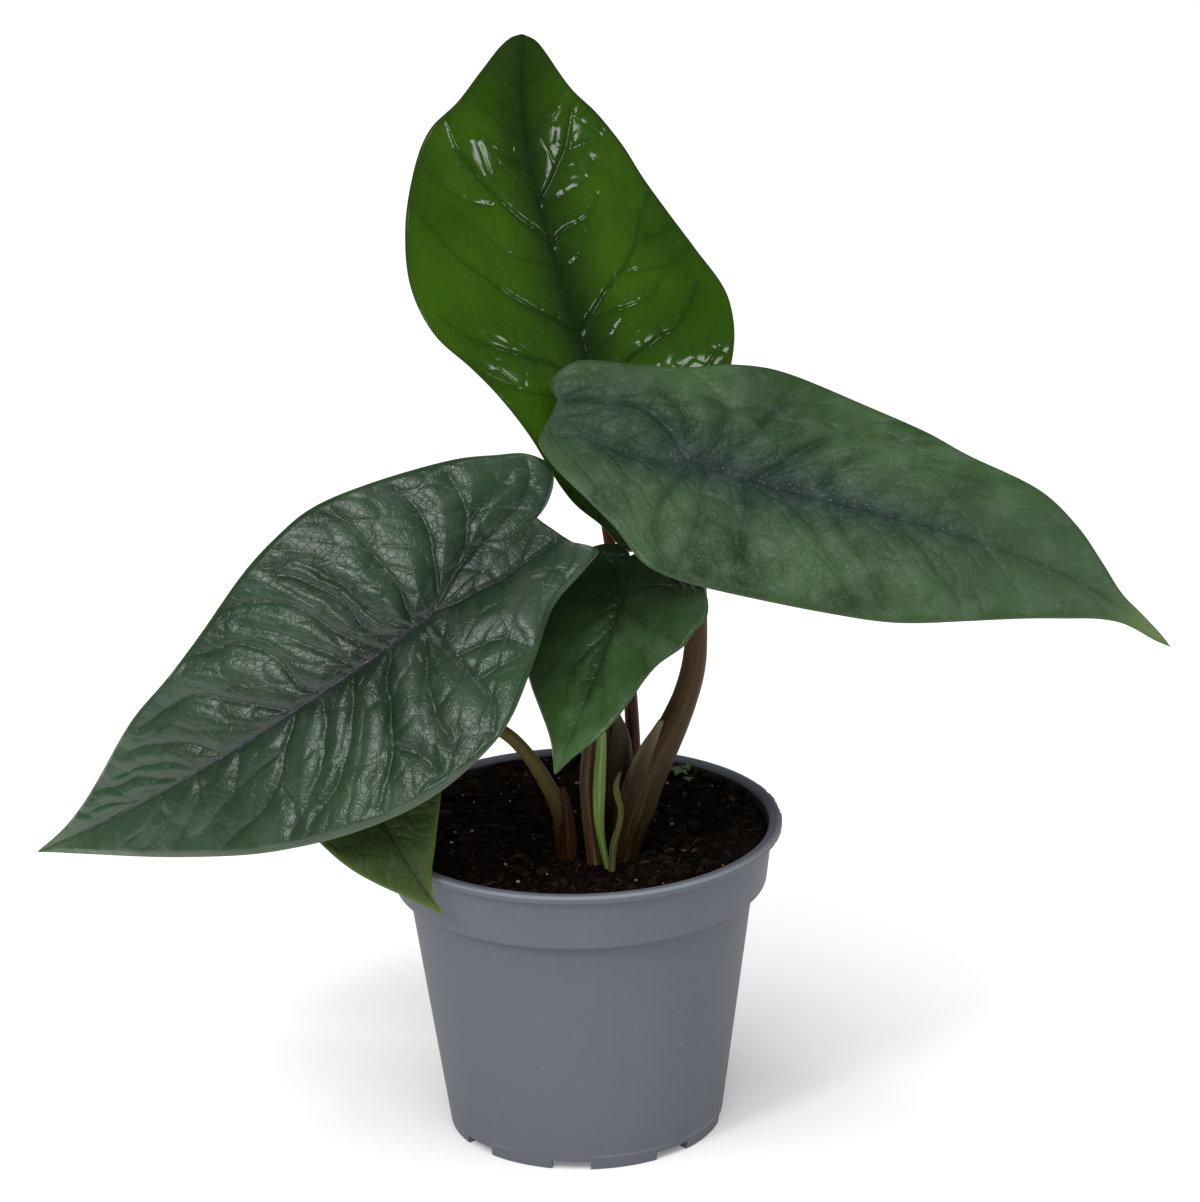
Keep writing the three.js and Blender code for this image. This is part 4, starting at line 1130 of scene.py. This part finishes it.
def fibres(name, count, material, seed):
    """Loose root fibres at random on the peat."""
    draw = np.random.default_rng(seed)
    parts, tones = [], []
    for _ in range(count):
        x, y = soil_spot(draw, 50)
        a, bend, length = draw.uniform(0, 6.28), draw.uniform(-1.0, 1.0), draw.uniform(2, 7)
        line = []
        for k in range(5):
            s = (k / 4 - 0.5) * length
            px, py = x + s * math.cos(a + bend * k / 4), y + s * math.sin(a + bend * k / 4)
            arch = 0.9 * draw.random() * math.sin(math.pi * k / 4)
            line.append((px, py, soil_height(px, py) + 0.3 + arch))
        radius = draw.uniform(0.05, 0.11)
        rows = [(*p, w * radius, w * radius) for p, w in zip(line, (1, 1, 1, 0.75, 0.5))]
        parts.append(tube(rows, sides=5, steps=8))
        tones += [draw.random()] * len(parts[-1][0])
    points, faces, _ = merge(parts)
    return make_object(name, points, faces, material, {"tone": tones})


def grain_material(name, low, high, rough=0.85):
    s = Shader(name)
    at = s.position()
    colour = s.coats(
        s.mix(s.attribute("tone"), low, high), (s.noise(at, 700, 4), 0.5, tuple(0.5 * c for c in low))
    )
    s.set(Base_Color=colour, Roughness=rough, Specular_IOR_Level=0.12)
    s.bump(s.noise(at, 1500, 4, 0.7), 0.0003, 0.8)
    return s.material


def soil_material():
    s = Shader("peat")
    at = s.position()
    fine = s.noise(at, 420, 6, 0.7)
    colour = s.coats(
        s.mix(s.ramp(s.noise(at, 45, 4), 0.35, 0.7), (0.0035, 0.0022, 0.0016), (0.010, 0.0062, 0.004)),
        (s.ramp(fine, 0.55, 0.72), 0.6, (0.026, 0.015, 0.009)),
    )
    s.set(Base_Color=colour, Roughness=0.95, Specular_IOR_Level=0.06)
    s.bump(fine, 0.0012, 1.0)
    return s.material


MOSS_LOBES = ((30.6, 38.5, 2.5), (33.0, 36.2, 1.9), (28.6, 40.4, 1.7), (32.6, 40.2, 1.7))
MOSS_SIDES = 20
MOSS_RINGS = 4
MOSS_LIFT = 0.8
MOSS_THICKNESS = 0.5


def build_moss(material):
    """A small waved flake of liverwort near the back of the rim."""
    sides, rings = MOSS_SIDES, MOSS_RINGS
    parts = []
    for cx, cy, size in MOSS_LOBES:
        points = []
        for level in (1, 0):
            base = soil_height(cx, cy) + MOSS_LIFT + MOSS_THICKNESS * level
            points.append((cx, cy, base))
            for k in range(1, rings + 1):
                for j in range(sides):
                    a = 2 * math.pi * j / sides
                    r = size * k / rings * (1 + 0.22 * math.sin(5 * a + cx) * k / rings)
                    wave = 0.5 * (k / rings) ** 2 * math.sin(4 * a + cy)
                    points.append((cx + r * math.cos(a), cy + r * math.sin(a), base + wave))
        faces, count = [], len(points) // 2
        grid = 1 + np.arange(rings * sides).reshape(rings, sides)
        for start, turned in ((0, False), (count, True)):
            ring = grid + start
            sheet = cap_faces(ring[0], start) + ring_faces(ring)[:, [0, 3, 2, 1]].tolist()
            faces += [f[::-1] for f in sheet] if turned else sheet
        rim = grid[-1]
        faces += ring_faces(np.stack([rim, rim + count]))[:, [0, 3, 2, 1]].tolist()
        parts.append((np.array(points), faces, np.zeros((len(points), 3))))
    points, faces, _ = merge(parts)
    return make_object("moss_flake", points, faces, material, {"tone": np.full(len(points), 0.5)})


# Stage
FLOOR_REACH = 9000


def add_floor():
    s = Shader("floor_paper")
    paper = s.mix(s.noise(s.position(), 3, 2), (0.90, 0.90, 0.90), (0.93, 0.93, 0.93))
    s.set(
        Base_Color=paper, Roughness=0.7, Specular_IOR_Level=0.2,
        Emission_Color=(1.0, 1.0, 1.0), Emission_Strength=0.18,
    )
    points = [(x * FLOOR_REACH, y * FLOOR_REACH, 0) for x, y in ((-1, -1), (1, -1), (1, 1), (-1, 1))]
    make_object("floor", points, [(0, 1, 2, 3)], s.material, smooth=False)


def add_lamp(data, ahead, place=(0, 0, 0)):
    lamp = bpy.data.objects.new(data.name, data)
    lamp.location = place
    lamp.rotation_euler = ahead.to_track_quat("-Z", "Y").to_euler()
    bpy.context.scene.collection.objects.link(lamp)
    return lamp


def add_box_light(name, place, size, power):
    """A soft box that faces the middle of the plant."""
    data = bpy.data.lights.new(name, "AREA")
    data.shape = "RECTANGLE"
    data.size, data.size_y = size
    data.energy = power
    add_lamp(data, Vector((0, 0, 0.15)) - Vector(place), place)


def add_lights():
    world = bpy.data.worlds.new("studio")
    world.use_nodes = True
    background = world.node_tree.nodes["Background"]
    background.inputs["Color"].default_value = (1, 1, 1, 1)
    background.inputs["Strength"].default_value = 0.10
    bpy.context.scene.world = world
    data = bpy.data.lights.new("sky", "SUN")
    data.energy = 3.3
    data.angle = math.radians(75)
    add_lamp(data, -Vector((-0.12, -0.42, 1))).visible_glossy = False
    add_box_light("left_box", (-0.88, -1.12, 1.13), (0.3, 0.3), 7)
    add_box_light("right_box", (1.20, 0.04, 1.20), (0.1, 0.12), 1.0)
    add_box_light("top_box", (0.22, -0.04, 1.78), (0.2, 0.16), 1.9)
    view = bpy.context.scene.view_settings
    view.view_transform = "Standard"
    view.look = "None"


# Everything
add_camera()
add_lights()
add_floor()

# For each leaf: material slot, look and form
LEAF_LOOKS = {
    "top": (
        "leaf_bright",
        dict(
            low=(0.013, 0.044, 0.001), high=(0.027, 0.078, 0.001), vein=(0.004, 0.015, 0.001),
            rib=(0.006, 0.015, 0.002), under=(0.045, 0.10, 0.02), edge=(0.014, 0.022, 0.004), gloss=0.30,
            near_rib=1.0, seams=0.03, shine=0.12, coat=0.22, length=120.0, rib_share=0.6, grain=0.6,
            middle=0.65,
        ),
        dict(puff=0.2, groove=0.5, net_share=0.04, rib_groove=0.12),
    ),
    "right": (
        "leaf_dusty",
        dict(
            low=(0.008, 0.025, 0.007), high=(0.037, 0.080, 0.028), vein=(0.014, 0.026, 0.022),
            rib=(0.012, 0.020, 0.020), under=(0.08, 0.12, 0.07), edge=(0.05, 0.085, 0.035), gloss=0.27,
            dust=0.5, shine=0.3, near_rib=1.0, seams=0.04, vein_share=0.5, tip=(0.17, 0.24, 0.09),
            painted_sheen=0.12, painted_sheen_colour=(0.09, 0.13, 0.10), grain=0.6, middle=0.5,
            far=(0.052, 0.105, 0.044),
        ),
        dict(puff=0.62, groove=0.5, net_share=0.06, stretch=2.4, rib_groove=0.35),
    ),
    "left": (
        "leaf_dark",
        dict(
            low=(0.006, 0.019, 0.007), high=(0.017, 0.045, 0.018), vein=(0.003, 0.008, 0.004),
            rib=(0.024, 0.025, 0.034), under=(0.06, 0.09, 0.06), edge=(0.035, 0.07, 0.025), gloss=0.27,
            dust=0.2, shine=0.6, near_rib=0.5, seams=0.0, painted_sheen=0.12, tip=(0.055, 0.105, 0.040),
            grain=0.45, middle=0.35, far=(0.030, 0.068, 0.030),
        ),
        dict(puff=1.5, groove=0.5, net_share=0.11, pleat=0.08, stretch=2.4),
    ),
    "centre": (
        "leaf_mid",
        dict(
            low=(0.009, 0.027, 0.005), high=(0.036, 0.090, 0.021), vein=(0.005, 0.014, 0.003),
            rib=(0.008, 0.020, 0.005), under=(0.05, 0.09, 0.04), edge=(0.030, 0.060, 0.018), gloss=0.25,
            dust=0.15, shine=0.35, near_rib=0.3, seams=0.03, vein_share=0.15, tip=(0.060, 0.115, 0.038),
            length=56.0, rib_share=0.45, painted_sheen=0.22, painted_sheen_colour=(0.10, 0.13, 0.10), grain=0.5,
            base_shadow=(0.002, 0.008, 0.001),
        ),
        dict(puff=0.5, groove=0.18, rib_groove=0.2),
    ),
    "low": (
        "leaf_olive",
        dict(
            low=(0.034, 0.060, 0.016), high=(0.041, 0.067, 0.016), vein=(0.018, 0.032, 0.008),
            rib=(0.020, 0.036, 0.010), under=(0.05, 0.08, 0.03), edge=(0.09, 0.14, 0.022), gloss=0.36,
            near_rib=0.4, seams=0.05, shine=0.2, tip=(0.09, 0.14, 0.028), length=48.0, vein_share=0.4,
            grain=0.6,
        ),
        dict(puff=0.4, groove=0.22, rib_groove=0.2),
    ),
}
PLAIN_FORM = dict(net_share=0.12, pleat=0.0, stretch=1.5, rib_groove=0.45)
# For each stalk: material slot and look, with the colours low, high and stripe
STALK_LOOKS = {
    "top": ("stalk_red", ((0.050, 0.012, 0.010), (0.085, 0.022, 0.018), (0.12, 0.045, 0.035)), {}),
    "right": (
        "stalk_brown", ((0.016, 0.010, 0.003), (0.040, 0.023, 0.006), (0.075, 0.047, 0.014)),
        dict(pale_top=(0.094, 0.048, 0.018), reach=120.0, ear=(0.24, 0.20, 0.12)),
    ),
    "left": (
        "stalk_dark", ((0.022, 0.011, 0.004), (0.040, 0.022, 0.007), (0.070, 0.045, 0.020)),
        dict(ear=(0.13, 0.11, 0.07)),
    ),
    "centre": ("stalk_striped", ((0.045, 0.022, 0.007), (0.085, 0.046, 0.015), (0.20, 0.13, 0.07)), {}),
    "low": (
        "stalk_olive", ((0.026, 0.008, 0.004), (0.050, 0.018, 0.007), (0.080, 0.042, 0.016)),
        dict(pale_top=(0.095, 0.075, 0.018), reach=52.0, ear=(0.05, 0.02, 0.008)),
    ),
}

for name, (slot, look, form) in LEAF_LOOKS.items():
    material = leaf_material(f"leaf_{name}_look", **look)
    blade, surface = build_leaf(name, material, **{**PLAIN_FORM, **form})
    keep(blade, slot, "leaf_" + name)
    slope = math.tan(math.radians(LEAVES[name]["fold"]))
    below = (np.array(LEAVES[name]["attach"]), surface.face, surface.side, slope)
    slot, colours, look = STALK_LOOKS[name]
    parts = [tube(STALKS[name], ridge=0.012, below=below)]
    ear = np.zeros(len(parts[0][0]))
    if name in SHEATHS:
        parts.append(tube(SHEATHS[name], sides=20, steps=40))
        ring = parts[1][2]
        up = np.clip((ring[:, 2] / ring[:, 2].max() - 0.6) / 0.4, 0, 1)
        at_edge = np.clip((EAR_SIDE[name] * ring[:, 0] / 3 - 0.6) / 0.4, 0, 1)
        ear = np.concatenate([ear, np.maximum(up**2, at_edge * np.clip(3 * up, 0, 1))])
    points, faces, ring = merge(parts)
    material = stalk_material(f"stalk_{name}_look", *colours, **look)
    values = {"ring": ring, "ear": ear}
    keep(make_object("fine_petiole_" + name, points, faces, material, values), slot, "petiole_" + name)

spear_colours = ((0.10, 0.17, 0.030), (0.17, 0.28, 0.06), (0.36, 0.46, 0.20), 0.35)
scale_colours = ((0.06, 0.06, 0.018), (0.12, 0.11, 0.03), (0.2, 0.16, 0.07), 0.6)
for node, slot, colours, rows, sides, steps in (
    ("spear", "spear_green", spear_colours, SPEAR, 24, 60),
    ("scale_leaf", "dry_scale", scale_colours, SCALE_LEAF, 14, 50),
):
    points, faces, ring = tube(rows, sides, steps)
    material = stalk_material(node + "_look", *colours)
    keep(make_object("fine_" + node, points, faces, material, {"ring": ring}), slot, node)

keep(build_pot(pot_material()), "pot_plastic", "pot")
keep(build_soil(soil_material()), "peat", "soil")
dark = grain_material("crumb_look", (0.004, 0.0026, 0.0018), (0.020, 0.012, 0.008))
bark = grain_material("bark_look", (0.022, 0.011, 0.006), (0.085, 0.042, 0.022))
pale = grain_material("grain_look", (0.22, 0.16, 0.10), (0.42, 0.34, 0.22))
keep(scatter("soil_crumbs", 1500, (0.35, 1.7), 1.6, dark, 21), "peat")
keep(scatter("bark_bits", 130, (0.35, 1.0), 4.0, bark, 8), "peat")
keep(scatter("pale_grains", 46, (0.3, 0.75), 1.4, pale, 3), "peat")
fibre = grain_material("fibre_look", (0.016, 0.009, 0.006), (0.13, 0.09, 0.06))
keep(fibres("root_fibres", 120, fibre, 17), "peat")
moss = grain_material("moss_look", (0.08, 0.13, 0.06), (0.13, 0.2, 0.10), 0.6)
keep(build_moss(moss), "spear_green")

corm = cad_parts["corm"]
corm.data.materials.clear()
corm.data.materials.append(grain_material("corm_look", (0.10, 0.06, 0.03), (0.2, 0.12, 0.07)))
